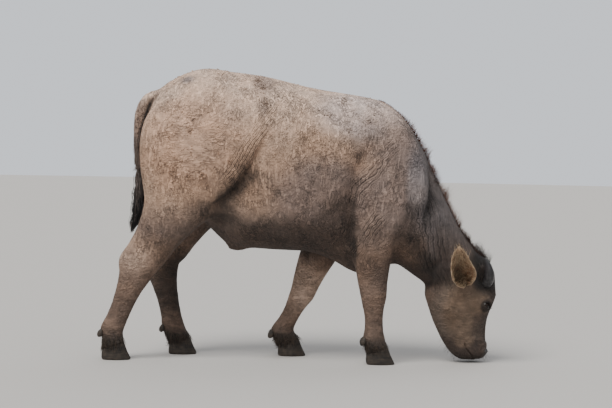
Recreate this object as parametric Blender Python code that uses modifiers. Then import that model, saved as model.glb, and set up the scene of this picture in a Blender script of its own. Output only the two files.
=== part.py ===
"""A yearling swamp buffalo, grazing: a life-size still model that stands on its own four feet.

Metres, +Z up, +X towards the head and -Y to the animal's right. The origin is on the floor, under
the middle of the model. Most forms are lofts through a few named stations. A station is one closed
section that stands across the body: two points of the side view, (x, z), and the width between
them. The forms are fused into one smooth body, which thin cuts then part into the head, neck,
torso and legs.
"""

import math
import random
from collections import namedtuple

import bmesh
import bpy
import numpy as np
from mathutils import Matrix, Vector

COLLECTION = "water_buffalo"
GAP = 0.0003
MIDDLE_X = 0.0248

# How finely the forms are made
BODY_VOXEL = 0.0065
BODY_TRIANGLES = 4000
HEAD_TRIANGLES = 2100
BODY_ROUNDS = 100
RING_POINTS = 40
RINGS_BETWEEN = 6
SHARP_ANGLE = 50.0

# The head is turned to the animal's left about an upright axis through its own middle
HEAD_TURN = 20.0
HEAD_AXIS = 0.660

Station = namedtuple("Station", "low high half mid widest square_high square_low turn")


def station(low, high, half, mid=0.0, widest=0.5, high_square=2.0, low_square=2.0, turn=0.0):
    return Station(low, high, half, mid, widest, high_square, low_square, turn)


# From the tail to the breast: the low point is the belly's and the high one the back's
TRUNK = (
    station((-0.580, 0.930), (-0.560, 1.064), 0.030),
    station((-0.570, 0.800), (-0.532, 1.092), 0.090, widest=0.55),
    station((-0.520, 0.690), (-0.480, 1.122), 0.150, widest=0.60),
    station((-0.440, 0.600), (-0.415, 1.150), 0.190, widest=0.66),
    station((-0.350, 0.530), (-0.350, 1.161), 0.211, widest=0.66),
    station((-0.260, 0.455), (-0.262, 1.147), 0.226, widest=0.58),
    station((-0.150, 0.442), (-0.150, 1.136), 0.243, widest=0.50, low_square=2.2),
    station((-0.040, 0.437), (-0.050, 1.115), 0.252, widest=0.46, low_square=2.2),
    station((0.060, 0.432), (0.055, 1.090), 0.250, widest=0.46, low_square=2.1),
    station((0.150, 0.402), (0.160, 1.074), 0.234, widest=0.50),
    station((0.240, 0.354), (0.260, 1.060), 0.214, widest=0.54, high_square=2.1),
    station((0.320, 0.350), (0.350, 1.038), 0.196, widest=0.56, high_square=2.1),
    station((0.390, 0.400), (0.410, 0.985), 0.170, widest=0.56),
    station((0.430, 0.500), (0.455, 0.860), 0.110, widest=0.56),
)
# From the withers to the nape: the low point is the throat's and the high one the crest's
NECK = (
    station((0.300, 0.400), (0.330, 1.034), 0.160, widest=0.56, high_square=2.0),
    station((0.340, 0.372), (0.420, 0.988), 0.164, widest=0.54, high_square=2.0),
    station((0.385, 0.388), (0.497, 0.871), 0.152, widest=0.50, high_square=1.9, turn=1.0),
    station((0.412, 0.390), (0.554, 0.749), 0.136, widest=0.48, high_square=1.8, turn=3.0),
    station((0.440, 0.373), (0.603, 0.647), 0.121, widest=0.48, high_square=1.8, turn=6.0),
    station((0.478, 0.346), (0.649, 0.551), 0.110, widest=0.50, high_square=1.8, turn=10.0),
    station((0.512, 0.322), (0.696, 0.480), 0.102, widest=0.52, turn=15.0),
    station((0.538, 0.298), (0.738, 0.442), 0.095, widest=0.55, turn=19.0),
    station((0.575, 0.255), (0.760, 0.390), 0.080, widest=0.60, turn=HEAD_TURN),
)
# From the poll to the lips: the low point is the jaw's and the high one the forehead's
HEAD = (
    station((0.650, 0.428), (0.738, 0.452), 0.050, turn=HEAD_TURN),
    station((0.600, 0.390), (0.781, 0.412), 0.082, widest=0.66, high_square=2.4, turn=HEAD_TURN),
    station((0.545, 0.335), (0.803, 0.357), 0.090, widest=0.68, high_square=2.6, turn=HEAD_TURN),
    station((0.514, 0.286), (0.810, 0.297), 0.090, widest=0.66, high_square=2.8, turn=HEAD_TURN),
    station((0.530, 0.230), (0.800, 0.237), 0.083, widest=0.62, high_square=3.0, turn=HEAD_TURN),
    station((0.547, 0.180), (0.783, 0.184), 0.071, widest=0.60, high_square=2.8, turn=HEAD_TURN),
    station((0.569, 0.132), (0.779, 0.137), 0.060, widest=0.60, high_square=2.6, turn=HEAD_TURN),
    station((0.589, 0.094), (0.779, 0.098), 0.054, widest=0.58, high_square=2.6, turn=HEAD_TURN),
    station((0.612, 0.060), (0.782, 0.064), 0.056, widest=0.64, high_square=2.8, turn=HEAD_TURN),
    station((0.638, 0.035), (0.786, 0.036), 0.056, widest=0.66, high_square=2.8, turn=HEAD_TURN),
    station((0.664, 0.019), (0.780, 0.019), 0.047, widest=0.62, high_square=2.6, turn=HEAD_TURN),
    station((0.694, 0.011), (0.765, 0.011), 0.026, turn=HEAD_TURN),
)
# The shoulder and the haunch of one side, from the top down: the low point is the rear one
SHOULDER = (
    station((0.300, 1.005), (0.385, 1.008), 0.030, mid=0.052),
    station((0.270, 0.935), (0.442, 0.945), 0.052, mid=0.080),
    station((0.246, 0.845), (0.490, 0.860), 0.068, mid=0.100),
    station((0.232, 0.745), (0.513, 0.765), 0.078, mid=0.112),
    station((0.226, 0.645), (0.512, 0.665), 0.084, mid=0.118),
    station((0.228, 0.555), (0.468, 0.575), 0.078, mid=0.122),
    station((0.240, 0.485), (0.400, 0.495), 0.062, mid=0.124),
)
HAUNCH = (
    station((-0.530, 1.050), (-0.270, 1.080), 0.055, mid=0.080, low_square=2.3),
    station((-0.597, 0.960), (-0.195, 0.990), 0.092, mid=0.100, low_square=2.5),
    station((-0.618, 0.860), (-0.165, 0.890), 0.108, mid=0.110, low_square=2.6),
    station((-0.613, 0.760), (-0.190, 0.790), 0.112, mid=0.115, low_square=2.5),
    station((-0.601, 0.680), (-0.238, 0.700), 0.106, mid=0.120, low_square=2.3),
    station((-0.590, 0.610), (-0.310, 0.625), 0.091, mid=0.125),
    station((-0.585, 0.560), (-0.370, 0.570), 0.072, mid=0.126),
)

# A paired mass is an ellipsoid on each side: its middle, its radii, and its lean in the side view
HEAD_MASSES = {
    "orbit": ((0.742, 0.062, 0.236), (0.038, 0.033, 0.036), 0.0),
    "brow": ((0.765, 0.050, 0.272), (0.038, 0.040, 0.046), 20.0),
    "cheek": ((0.628, 0.050, 0.250), (0.072, 0.036, 0.080), 24.0),
    "cheekbone": ((0.690, 0.060, 0.232), (0.070, 0.026, 0.030), 0.0),
    "nostril_wing": ((0.759, 0.030, 0.053), (0.026, 0.028, 0.034), 0.0),
}
BODY_MASSES = {
    "hook": ((-0.325, 0.130, 1.062), (0.080, 0.052, 0.048), 10.0),
    "pin": ((-0.537, 0.062, 1.010), (0.044, 0.032, 0.048), 0.0),
    "stifle": ((-0.325, 0.160, 0.665), (0.070, 0.045, 0.100), -20.0),
    "shoulder_point": ((0.462, 0.108, 0.640), (0.052, 0.048, 0.062), 0.0),
}
MIDDLE_MASSES = {
    "breast": ((0.405, 0.0, 0.490), (0.055, 0.075, 0.095), -20.0),
    "sheath": ((-0.222, 0.0, 0.450), (0.052, 0.024, 0.023), -6.0),
    "tail_bed": ((-0.580, 0.0, 0.935), (0.040, 0.046, 0.115), 8.0),
}
# A leg's own mass, from its elbow or its hock
ELBOW_MASS = ((-0.062, 0.010, 0.010), (0.036, 0.032, 0.050), 0.0)
HOCK_MASS = ((-0.053, 0.0, 0.010), (0.034, 0.028, 0.056), 20.0)

# A leg's level: the bone that it is on, how far down that bone, how far in front of its line the
# middle lies, and the depth and half width of the leg there
Level = namedtuple("Level", "bone share forward depth half")
FORE_LEVELS = (
    Level(0, 0.00, 0.000, 0.170, 0.064),
    Level(0, 0.25, -0.004, 0.156, 0.062),
    Level(0, 0.50, -0.006, 0.138, 0.056),
    Level(0, 0.75, -0.005, 0.119, 0.049),
    Level(0, 1.00, 0.000, 0.104, 0.046),
    Level(1, 0.22, -0.001, 0.088, 0.040),
    Level(1, 0.48, 0.000, 0.075, 0.034),
    Level(1, 0.75, 0.000, 0.076, 0.035),
    Level(1, 1.00, -0.002, 0.090, 0.043),
    Level(2, 0.50, 0.000, 0.082, 0.042),
    Level(2, 1.00, 0.000, 0.088, 0.046),
    Level(2, 1.60, 0.000, 0.096, 0.050),
)
HIND_LEVELS = (
    Level(0, 0.00, 0.000, 0.300, 0.088),
    Level(0, 0.30, 0.000, 0.232, 0.074),
    Level(0, 0.60, 0.002, 0.184, 0.060),
    Level(0, 0.85, 0.003, 0.166, 0.050),
    Level(0, 1.00, 0.001, 0.158, 0.046),
    Level(1, 0.18, 0.000, 0.132, 0.043),
    Level(1, 0.38, -0.001, 0.105, 0.038),
    Level(1, 0.60, 0.000, 0.090, 0.034),
    Level(1, 0.82, 0.000, 0.086, 0.035),
    Level(1, 1.00, -0.002, 0.093, 0.043),
    Level(2, 0.50, 0.000, 0.084, 0.042),
    Level(2, 1.00, 0.000, 0.090, 0.046),
    Level(2, 1.60, 0.000, 0.098, 0.050),
)
# Where each leg's joints are: elbow or thigh, knee or hock, fetlock, coronet
LEG_JOINTS = {
    "foreleg_right": (
        (0.315, -0.124, 0.500),
        (0.318, -0.116, 0.262),
        (0.322, -0.118, 0.100),
        (0.338, -0.118, 0.052),
    ),
    "foreleg_left": (
        (0.135, 0.124, 0.490),
        (0.036, 0.118, 0.256),
        (-0.046, 0.120, 0.098),
        (-0.014, 0.120, 0.052),
    ),
    "hindleg_right": (
        (-0.445, -0.130, 0.650),
        (-0.605, -0.116, 0.385),
        (-0.712, -0.116, 0.115),
        (-0.704, -0.116, 0.052),
    ),
    "hindleg_left": (
        (-0.392, 0.130, 0.650),
        (-0.545, 0.116, 0.385),
        (-0.488, 0.116, 0.115),
        (-0.458, 0.116, 0.052),
    ),
}

# How far a leg's shoulder or haunch is carried with it: between these levels, more the lower
SHOULDER_SWING = (0.80, 0.48)
HAUNCH_SWING = (0.85, 0.56)

# The foot: the coronet's rear and front points and one claw, from the middle of the joint
CORONET_REAR = (-0.044, 0.040)
CORONET_FRONT = (0.040, 0.068)
CLAW_MIDDLE = 0.0170
CLAW = (
    station(CORONET_REAR, CORONET_FRONT, 0.0255, low_square=2.3),
    station((-0.047, 0.020), (0.054, 0.032), 0.0270, low_square=2.3, high_square=1.7),
    station((-0.046, 0.004), (0.069, 0.004), 0.0275, low_square=2.3, high_square=1.6),
    station((-0.041, 0.000), (0.065, 0.000), 0.0250, low_square=2.3, high_square=1.6),
)
CLEFT_SIDE = 0.58
TOE_IN = 0.006
CORONET_BLOCK = (0.40, 0.16, 0.20)
DEWCLAW_MIDDLE = (-0.042, 0.024, -0.010)
DEWCLAW_RADII = (0.013, 0.011, 0.019)

# Boxes whose faces part the body: middle, size, and their lean, splay and turn in degrees
HEAD_BOX = ((0.7465, 0.0, 0.2013), (0.560, 0.600, 0.400), 40.75, 0.0, 15.0)
NECK_BOX = ((0.740, 0.0, 0.560), (0.520, 0.700, 1.100), -6.0, 0.0, 0.0)
LEG_BOXES = {
    "foreleg_right": ((0.315, -0.205, 0.235), (0.380, 0.300, 0.450), 0.0, 10.0, 0.0),
    "foreleg_left": ((0.035, 0.205, 0.235), (0.420, 0.300, 0.450), 8.0, -10.0, 0.0),
    "hindleg_right": ((-0.640, -0.170, 0.290), (0.560, 0.330, 0.600), 22.0, 10.0, 0.0),
    "hindleg_left": ((-0.560, 0.170, 0.290), (0.480, 0.330, 0.600), 22.0, -10.0, 0.0),
}
HEAD_OVERLAP = 0.015

# The head's features on one side, before the head is turned
EYE_MIDDLE = (0.743, 0.0795, 0.232)
EYE_RADIUS = 0.0185
LID_THICKNESS = 0.0035
EYE_SLIT = ((0.004, 0.022, -0.001), (0.0196, 0.018, 0.0126), 42.0)
NOSTRIL = ((0.772, 0.038, 0.055), (0.020, 0.0085, 0.0125), 20.0)
MOUTH_BOX = ((0.695, 0.0, 0.040), (0.0024, 0.200, 0.110), -26.0)
EAR_PATH = (
    (0.655, 0.074, 0.300),
    (0.640, 0.116, 0.330),
    (0.612, 0.146, 0.394),
    (0.586, 0.166, 0.474),
)
EAR_WIDTHS = (0.012, 0.022, 0.038, 0.047, 0.047, 0.038, 0.024, 0.004)
EAR_DEPTH = 0.62
EAR_WALL = (0.0075, 0.0040)
EAR_OPENS = (-0.245, 0.964, 0.0)
HORN_PATH = (
    (0.738, 0.055, 0.318),
    (0.744, 0.086, 0.328),
    (0.744, 0.107, 0.352),
    (0.735, 0.117, 0.388),
    (0.719, 0.119, 0.424),
)
HORN_RADII = (0.024, 0.0235, 0.021, 0.0155, 0.004)

# The tail: its middle line and half widths, and the level at which the switch begins
TAIL_PATH = (
    (-0.530, 0.0, 1.048),
    (-0.592, 0.0, 1.026),
    (-0.625, 0.0, 0.972),
    (-0.636, 0.0, 0.900),
    (-0.633, 0.0, 0.820),
    (-0.630, 0.0, 0.750),
    (-0.628, 0.0, 0.690),
)
TAIL_HALF = (0.030, 0.030, 0.0240, 0.0195, 0.0160, 0.0145, 0.0135)
SWITCH_LEVEL = 0.760
TAIL_BLOCK = (0.2, 0.2, 0.3)
SWITCH_PATH = (
    (-0.632, 0.0, 0.790),
    (-0.629, 0.0, 0.740),
    (-0.626, 0.0, 0.660),
    (-0.634, 0.0, 0.580),
    (-0.654, 0.0, 0.500),
)
SWITCH_HALF = (0.0160, 0.0160, 0.0185, 0.0170, 0.0040)

# A lock of hair, from its sunk root to its tip: share of its length, and share of its width
LOCK = ((-0.28, 0.75), (0.05, 1.00), (0.45, 0.90), (0.80, 0.55), (1.00, 0.10))
LockSize = namedtuple("LockSize", "length half thick")
MANE_LOCKS = 26
MANE_START = 0.07
MANE_LOCK = LockSize(0.042, 0.0105, 0.0034)
POLL_LOCKS = 12
POLL_LOCK = LockSize(0.041, 0.0100, 0.0035)
POLL_MIDDLE = (0.715, 0.0, 0.365)
POLL_LIFT = (0.70, 0.34, 0.24, 0.20)
EAR_LOCK = LockSize(0.032, 0.0060, 0.0022)
SWITCH_LOCKS = 18
SWITCH_LOCK = LockSize(0.090, 0.0085, 0.0038)

# Each kind of surface: colour and roughness
FINISHES = {
    "hide": ((0.216, 0.156, 0.114), 0.80),
    "ear_hide": ((0.190, 0.120, 0.065), 0.80),
    "horn": ((0.035, 0.032, 0.030), 0.45),
    "claw": ((0.040, 0.034, 0.030), 0.60),
    "eye": ((0.010, 0.008, 0.007), 0.08),
    "tail_hair": ((0.012, 0.011, 0.010), 0.70),
}
SIDES = {"right": -1.0, "left": 1.0}


def clear_scene():
    for obj in list(bpy.data.objects):
        bpy.data.objects.remove(obj)


def mesh_object(name, bm):
    mesh = bpy.data.meshes.new(name)
    bm.to_mesh(mesh)
    bm.free()
    obj = bpy.data.objects.new(name, mesh)
    bpy.context.scene.collection.objects.link(obj)
    return obj


def smooth_rows(rows, between=RINGS_BETWEEN):
    """The rows with others put between them on a smooth curve."""
    rows = np.array(rows, float)
    ends = np.vstack([2 * rows[0] - rows[1], rows, 2 * rows[-1] - rows[-2]])
    made = []
    for before, start, end, after in zip(ends, ends[1:], ends[2:], ends[3:]):
        for k in range(between):
            t = k / between
            bend = 2 * before - 5 * start + 4 * end - after
            twist = 3 * (start - end) + after - before
            made.append(0.5 * (2 * start + (end - before) * t + bend * t**2 + twist * t**3))
    return np.array(made + [rows[-1]])


def flat_row(s, side=1.0):
    return [*s.low, *s.high, s.half, s.mid * side, s.widest, s.square_high, s.square_low, s.turn]


def section(row, count):
    """The points of one station's closed outline."""
    low_x, low_z, high_x, high_z, half, mid, widest, square_high, square_low, turn = row
    turned = Matrix.Rotation(math.radians(turn), 4, "Z")
    axis = Vector((HEAD_AXIS, 0, 0))
    points = []
    for k in range(count):
        angle = 2 * math.pi * k / count
        up, side = math.cos(angle), math.sin(angle)
        power = 2 / (square_high if up > 0 else square_low)
        reach = math.copysign(abs(up) ** power, up)
        share = widest + reach * ((1 - widest) if up > 0 else widest)
        across = math.copysign(abs(side) ** power, side)
        x = low_x + (high_x - low_x) * share
        z = low_z + (high_z - low_z) * share
        points.append(axis + turned @ (Vector((x, mid + half * across, z)) - axis))
    return points


def skin_rings(name, rings):
    """A closed form over a row of rings, each with the same number of points."""
    bm = bmesh.new()
    rings = [[bm.verts.new(p) for p in ring] for ring in rings]
    for first, second in zip(rings, rings[1:]):
        for k in range(len(first)):
            n = (k + 1) % len(first)
            bm.faces.new((first[k], first[n], second[n], second[k]))
    bm.faces.new(rings[0][::-1])
    bm.faces.new(rings[-1])
    bmesh.ops.recalc_face_normals(bm, faces=bm.faces)
    return mesh_object(name, bm)


def loft(name, rows, count=RING_POINTS, between=RINGS_BETWEEN):
    """A closed form through the sections of all rows."""
    return skin_rings(name, [section(row, count) for row in smooth_rows(rows, between)])


def strand(name, path, widths, thicks, facing, count=12, between=3):
    """A tapered form along a path, as wide as its widths across the way it faces."""
    rows = smooth_rows([[*p, w, t] for p, w, t in zip(path, widths, thicks)], between)
    rings = []
    for k, row in enumerate(rows):
        ahead = rows[min(k + 1, len(rows) - 1)][:3] - rows[max(k - 1, 0)][:3]
        along = Vector(ahead).normalized()
        across = along.cross(Vector(facing)).normalized()
        out = across.cross(along)
        ring = []
        for n in range(count):
            angle = 2 * math.pi * n / count
            ring.append(Vector(row[:3]) + across * row[3] * math.cos(angle) + out * row[4] * math.sin(angle))
        rings.append(ring)
    return skin_rings(name, rings)


def ellipsoid(name, centre, radii, lean=0.0, segments=32, rings=20):
    """An ellipsoid, turned by its lean in the side view."""
    bm = bmesh.new()
    bmesh.ops.create_uvsphere(bm, u_segments=segments, v_segments=rings, radius=1.0)
    leaned = Matrix.Rotation(math.radians(lean), 4, "Y")
    scaled = Matrix.Diagonal((*radii, 1.0))
    bmesh.ops.transform(bm, matrix=Matrix.Translation(centre) @ leaned @ scaled, verts=bm.verts)
    return mesh_object(name, bm)


def box(name, centre, size, lean=0.0, splay=0.0, turn=0.0, grow=0.0):
    """A box that a part is cut with; grow moves every face outwards."""
    bm = bmesh.new()
    bmesh.ops.create_cube(bm, size=1.0)
    turned = Matrix.Rotation(math.radians(turn), 4, "Z") @ Matrix.Rotation(math.radians(splay), 4, "X")
    turned = turned @ Matrix.Rotation(math.radians(lean), 4, "Y")
    scaled = Matrix.Diagonal((*[s + 2 * grow for s in size], 1.0))
    bmesh.ops.transform(bm, matrix=Matrix.Translation(centre) @ turned @ scaled, verts=bm.verts)
    return mesh_object(name, bm)


def turn_with_head(obj):
    axis = Matrix.Translation((HEAD_AXIS, 0, 0))
    obj.data.transform(axis @ Matrix.Rotation(math.radians(HEAD_TURN), 4, "Z") @ axis.inverted())
    return obj


def mirrored(point, side):
    return Vector((point[0], point[1] * side, point[2]))


def copy_of(obj, name):
    made = bpy.data.objects.new(name, obj.data.copy())
    bpy.context.scene.collection.objects.link(made)
    return made


def remove(*objects):
    for obj in objects:
        bpy.data.objects.remove(obj)


def apply(obj, modifier):
    bpy.context.view_layer.objects.active = obj
    bpy.ops.object.modifier_apply(modifier=modifier.name)


def carve(obj, cutter, operation="DIFFERENCE"):
    """One Boolean with a cutter, which is then removed."""
    cut = obj.modifiers.new("cut", "BOOLEAN")
    cut.operation = operation
    cut.solver = "EXACT"
    cut.object = cutter
    apply(obj, cut)
    remove(cutter)
    keep_largest(obj)


def keep_largest(obj):
    """Leaves only the largest closed surface of a mesh."""
    bm = bmesh.new()
    bm.from_mesh(obj.data)
    bm.verts.ensure_lookup_table()
    left, groups = set(bm.verts), []
    while left:
        group, edge = set(), [left.pop()]
        while edge:
            vert = edge.pop()
            group.add(vert)
            near = {e.other_vert(vert) for e in vert.link_edges} & left
            left -= near
            edge.extend(near)
        groups.append(group)
    largest = max(groups, key=len)
    loose = [v for group in groups if group is not largest for v in group]
    bmesh.ops.delete(bm, geom=loose, context="VERTS")
    bm.to_mesh(obj.data)
    bm.free()


def grown(obj, amount):
    """A copy with its surface moved outwards."""
    made = copy_of(obj, "grown")
    shift = made.modifiers.new("grow", "DISPLACE")
    shift.strength = amount
    shift.mid_level = 0.0
    apply(made, shift)
    return made


def thin_out(obj, triangles):
    """Fewer and larger triangles, kept small where the form bends."""
    thin = obj.modifiers.new("thin", "DECIMATE")
    thin.ratio = triangles / sum(len(f.vertices) - 2 for f in obj.data.polygons)
    thin.use_collapse_triangulate = True
    apply(obj, thin)


def crest_line():
    """Points along the top of the neck, from the withers to the poll."""
    rows = smooth_rows([flat_row(s) for s in NECK[1:8]], 3)
    return [section(row, 4)[0] for row in rows]


def lock(root, along, size, bend, facing):
    """A flat tapered lock of hair with a sunk root, bent towards its tip."""
    root, along, bend = Vector(root), Vector(along).normalized(), Vector(bend)
    path = [root + (along * share + bend * share * abs(share)) * size.length for share, _ in LOCK]
    widths = [size.half * wide for _, wide in LOCK]
    thicks = [size.thick * (0.4 + 0.6 * wide) for _, wide in LOCK]
    return strand("lock", path, widths, thicks, facing, count=4, between=1)


def longer(size, factor):
    return size._replace(length=size.length * factor)


def root_in(obj, locks):
    """Joins all the locks to what they grow from, in one union."""
    holder = bpy.data.collections.new("locks")
    for made in locks:
        holder.objects.link(made)
    join = obj.modifiers.new("locks", "BOOLEAN")
    join.operation = "UNION"
    join.operand_type = "COLLECTION"
    join.solver = "EXACT"
    join.collection = holder
    apply(obj, join)
    remove(*locks)
    bpy.data.collections.remove(holder)
    keep_largest(obj)


def mane_locks():
    """Upright locks along the top of the neck, leaning towards the head."""
    rng = random.Random(11)
    line = crest_line()
    last = len(line) - 1
    made = []
    for k in range(MANE_LOCKS):
        place = last * (MANE_START + (1 - MANE_START) * k / MANE_LOCKS)
        start = int(place)
        side = Vector((0, 0.006 if k % 2 else -0.006, 0))
        ahead = (line[min(start + 2, last)] - line[max(start - 1, 0)]).normalized()
        up = Vector((-ahead.z, 0, ahead.x)).normalized()
        root = line[start].lerp(line[min(start + 1, last)], place - start) + side - up * 0.004
        size = longer(MANE_LOCK, (0.55 + 0.45 * ramp(k, 0, 5)) * rng.uniform(0.85, 1.1))
        along = up * 0.62 + ahead * rng.uniform(0.62, 0.85) + side * 22
        made.append(lock(root, along, size, ahead * 0.25, (0, 1, 0)))
    return made


def poll_locks(head):
    """Bristles between the horns: upright at the poll, lying down the forehead below it."""
    rng = random.Random(12)
    made = []
    for k in range(POLL_LOCKS):
        row, column = divmod(k, 3)
        angle = math.radians(96 - 30 * row)
        across = (column - 1) * 0.42 + (0.12 if row % 2 else -0.12)
        aim = Vector((math.cos(angle), across, math.sin(angle)))
        aim.rotate(Matrix.Rotation(math.radians(HEAD_TURN), 3, "Z"))
        _, place, normal, _ = head.ray_cast(Vector(POLL_MIDDLE) + aim * 0.30, -aim.normalized())
        lie = Vector((0.35, rng.uniform(-0.3, 0.3), -1.0)) if row else Vector((0.9, 0, 0.5))
        size = longer(POLL_LOCK, rng.uniform(0.88, 1.12))
        made.append(lock(place, normal * POLL_LIFT[row] + lie * 0.7, size, -normal * 0.10, normal))
    return made


def switch_locks():
    """Long locks round the tail's end, each lying down over the next."""
    rng = random.Random(13)
    line = smooth_rows(SWITCH_PATH, 4)
    made = []
    for k in range(SWITCH_LOCKS):
        start = int((0.10 + 0.62 * k / (SWITCH_LOCKS - 1)) * (len(line) - 1))
        here, ahead = Vector(line[start]), Vector(line[start + 1] - line[start]).normalized()
        out = Vector((math.cos(k * 2.4), math.sin(k * 2.4), 0))
        left = (here.z - SWITCH_PATH[-1][2]) / SWITCH_LOCK.length
        size = longer(SWITCH_LOCK, min(rng.uniform(0.83, 1.17), left))
        made.append(lock(here + out * 0.010, ahead + out * 0.20, size, -out * 0.10, out))
    return made


def leg(name, levels, joints):
    """A leg's loft, each level set across the line of its joints."""
    joints = [Vector(j) for j in joints]
    middles = [joints[v.bone].lerp(joints[v.bone + 1], v.share) for v in levels]
    rows = []
    for k, level in enumerate(levels):
        before, after = middles[max(k - 1, 0)], middles[min(k + 1, len(levels) - 1)]
        down = (after - before).normalized()
        front = Vector((-down.z, 0, down.x)).normalized()
        middle = middles[k] + front * level.forward
        rear, fore = middle - front * level.depth / 2, middle + front * level.depth / 2
        rows.append([rear.x, rear.z, fore.x, fore.z, level.half, middle.y, 0.5, 2.2, 2.2, 0.0])
    return loft(name, rows)


def swung(stations, side, shift, top, bottom):
    """Rows of one side's mass, whose lower stations are carried along X with the leg."""
    rows = []
    for s in stations:
        share = min(max((top - s.low[1]) / (top - bottom), 0.0), 1.0)
        row = flat_row(s, side)
        row[0] += shift * share
        row[2] += shift * share
        rows.append(row)
    return rows


def masses(table, sides=(-1.0, 1.0)):
    made = []
    for side in sides:
        for name, ((x, y, z), radii, lean) in table.items():
            made.append(ellipsoid(name, (x, y * side, z), radii, lean))
    return made


def leg_masses(name):
    """One leg's form with its shoulder or haunch, and its elbow or hock."""
    joints = LEG_JOINTS[name]
    fore = name.startswith("fore")
    side = SIDES[name.split("_")[1]]
    straight = LEG_JOINTS["foreleg_right" if fore else "hindleg_right"]
    shift = joints[0][0] - straight[0][0]
    stations, swing = (SHOULDER, SHOULDER_SWING) if fore else (HAUNCH, HAUNCH_SWING)
    offset, radii, lean = ELBOW_MASS if fore else HOCK_MASS
    joint = Vector(joints[0 if fore else 1])
    return [
        leg(name + "_form", FORE_LEVELS if fore else HIND_LEVELS, joints),
        loft("upper_form", swung(stations, side, shift, *swing)),
        ellipsoid("joint_form", joint + mirrored(offset, side), radii, lean),
    ]


def body_masses():
    """Every form that the body is fused from."""
    made = [
        loft("trunk", [flat_row(s) for s in TRUNK]),
        loft("neck_form", [flat_row(s) for s in NECK]),
        loft("head_form", [flat_row(s) for s in HEAD]),
    ]
    made += masses(MIDDLE_MASSES, sides=(1.0,)) + masses(BODY_MASSES)
    made += [turn_with_head(obj) for obj in masses(HEAD_MASSES)]
    for name in LEG_JOINTS:
        made += leg_masses(name)
    return made


def fuse(name, pieces, voxel):
    """One closed skin round all the pieces."""
    for obj in bpy.context.selected_objects:
        obj.select_set(False)
    for piece in pieces:
        piece.select_set(True)
    bpy.context.view_layer.objects.active = pieces[0]
    bpy.ops.object.join()
    obj = bpy.context.view_layer.objects.active
    obj.name = name
    remesh = obj.modifiers.new("skin", "REMESH")
    remesh.mode = "VOXEL"
    remesh.voxel_size = voxel
    apply(obj, remesh)
    return obj


def soften(obj, rounds, weight):
    """Draws each point towards its neighbours, by the weight that its place is given."""
    group = obj.vertex_groups.new(name="soft")
    for vertex in obj.data.vertices:
        group.add([vertex.index], weight(vertex.co), "REPLACE")
    smooth = obj.modifiers.new("soft", "SMOOTH")
    smooth.factor = 0.5
    smooth.iterations = rounds
    smooth.vertex_group = group.name
    apply(obj, smooth)
    obj.vertex_groups.clear()


def ramp(value, start, end):
    share = min(max((value - start) / (end - start), 0.0), 1.0)
    return share * share * (3 - 2 * share)


def body_softness(p):
    """The trunk's masses melt into one another; the legs and the head keep their forms."""
    return 0.10 + 0.90 * ramp(p.z, 0.40, 0.62) * ramp(p.x, 0.66, 0.56)


def head_features(head):
    """Lids, nostrils and the mouth, worked into the head."""
    shift, slit_radii, slit_lean = EYE_SLIT
    nostril_middle, nostril_radii, nostril_lean = NOSTRIL
    lids_radius = EYE_RADIUS + LID_THICKNESS
    for side in SIDES.values():
        middle = mirrored(EYE_MIDDLE, side)
        lids = ellipsoid("lids", middle, (lids_radius,) * 3, segments=24, rings=16)
        slit = ellipsoid("slit", middle + mirrored(shift, side), slit_radii, slit_lean)
        place = mirrored(nostril_middle, side)
        nostril = ellipsoid("nostril", place, nostril_radii, nostril_lean, segments=20, rings=12)
        carve(head, turn_with_head(lids), "UNION")
        carve(head, turn_with_head(slit))
        carve(head, turn_with_head(nostril))
    carve(head, turn_with_head(box("mouth", *MOUTH_BOX)))


def eye(name, side):
    ball = ellipsoid(name, mirrored(EYE_MIDDLE, side), (EYE_RADIUS,) * 3, segments=14, rings=9)
    return turn_with_head(ball)


def ear(name, side):
    """A cupped leaf, thick at its root, whose margins carry locks and point the way it opens."""
    path = smooth_rows([mirrored(p, side) for p in EAR_PATH], 4)
    widths = smooth_rows([[w] for w in EAR_WIDTHS], 4)[:, 0]
    last = len(path) - 1
    rings, fringe = [], []
    for k, point in enumerate(path):
        share = k / last
        half = float(np.interp(share, np.linspace(0, 1, len(widths)), widths))
        wall = float(np.interp(share, (0, 1), EAR_WALL))
        along = Vector(path[min(k + 1, last)] - path[max(k - 1, 0)]).normalized()
        opens = mirrored(EAR_OPENS, side)
        out = (opens - along * opens.dot(along)).normalized()
        across = out.cross(along)
        back, front = [], []
        for s in np.linspace(-1.0, 1.0, 7):
            behind = Vector(point) + across * half * s - out * half * EAR_DEPTH * (1 - s * s)
            back.append(behind)
            front.append(behind + out * wall * (1 - 0.5 * abs(s)) - across * wall * 0.5 * s)
        rings.append(back + front[::-1])
        if 0.30 < share < 0.90 and k % 2:
            for edge, way in ((back[0], -across), (back[-1], across)):
                lie = along * 0.9 + way * 0.38 + out * 0.20
                fringe.append(lock(edge - way * 0.003, lie, EAR_LOCK, -way * 0.2, out))
    made = skin_rings(name, rings)
    root_in(made, fringe)
    return turn_with_head(made)


def horn(name, side):
    path = [mirrored(p, side) for p in HORN_PATH]
    return turn_with_head(strand(name, path, HORN_RADII, HORN_RADII, (0, 1, 0), count=12, between=4))


def claw(name, foot, side):
    """One claw of a foot, flatter on the side of the cleft, with its toe drawn in."""
    made = loft(name, [flat_row(s) for s in CLAW], count=12, between=2)
    for vertex in made.data.vertices:
        if vertex.co.y * side < 0:
            vertex.co.y *= CLEFT_SIDE
        vertex.co.y -= side * TOE_IN * ramp(vertex.co.x, 0.0, 0.07)
    made.location = (foot.x, foot.y + CLAW_MIDDLE * side, 0.0)
    return made


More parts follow.
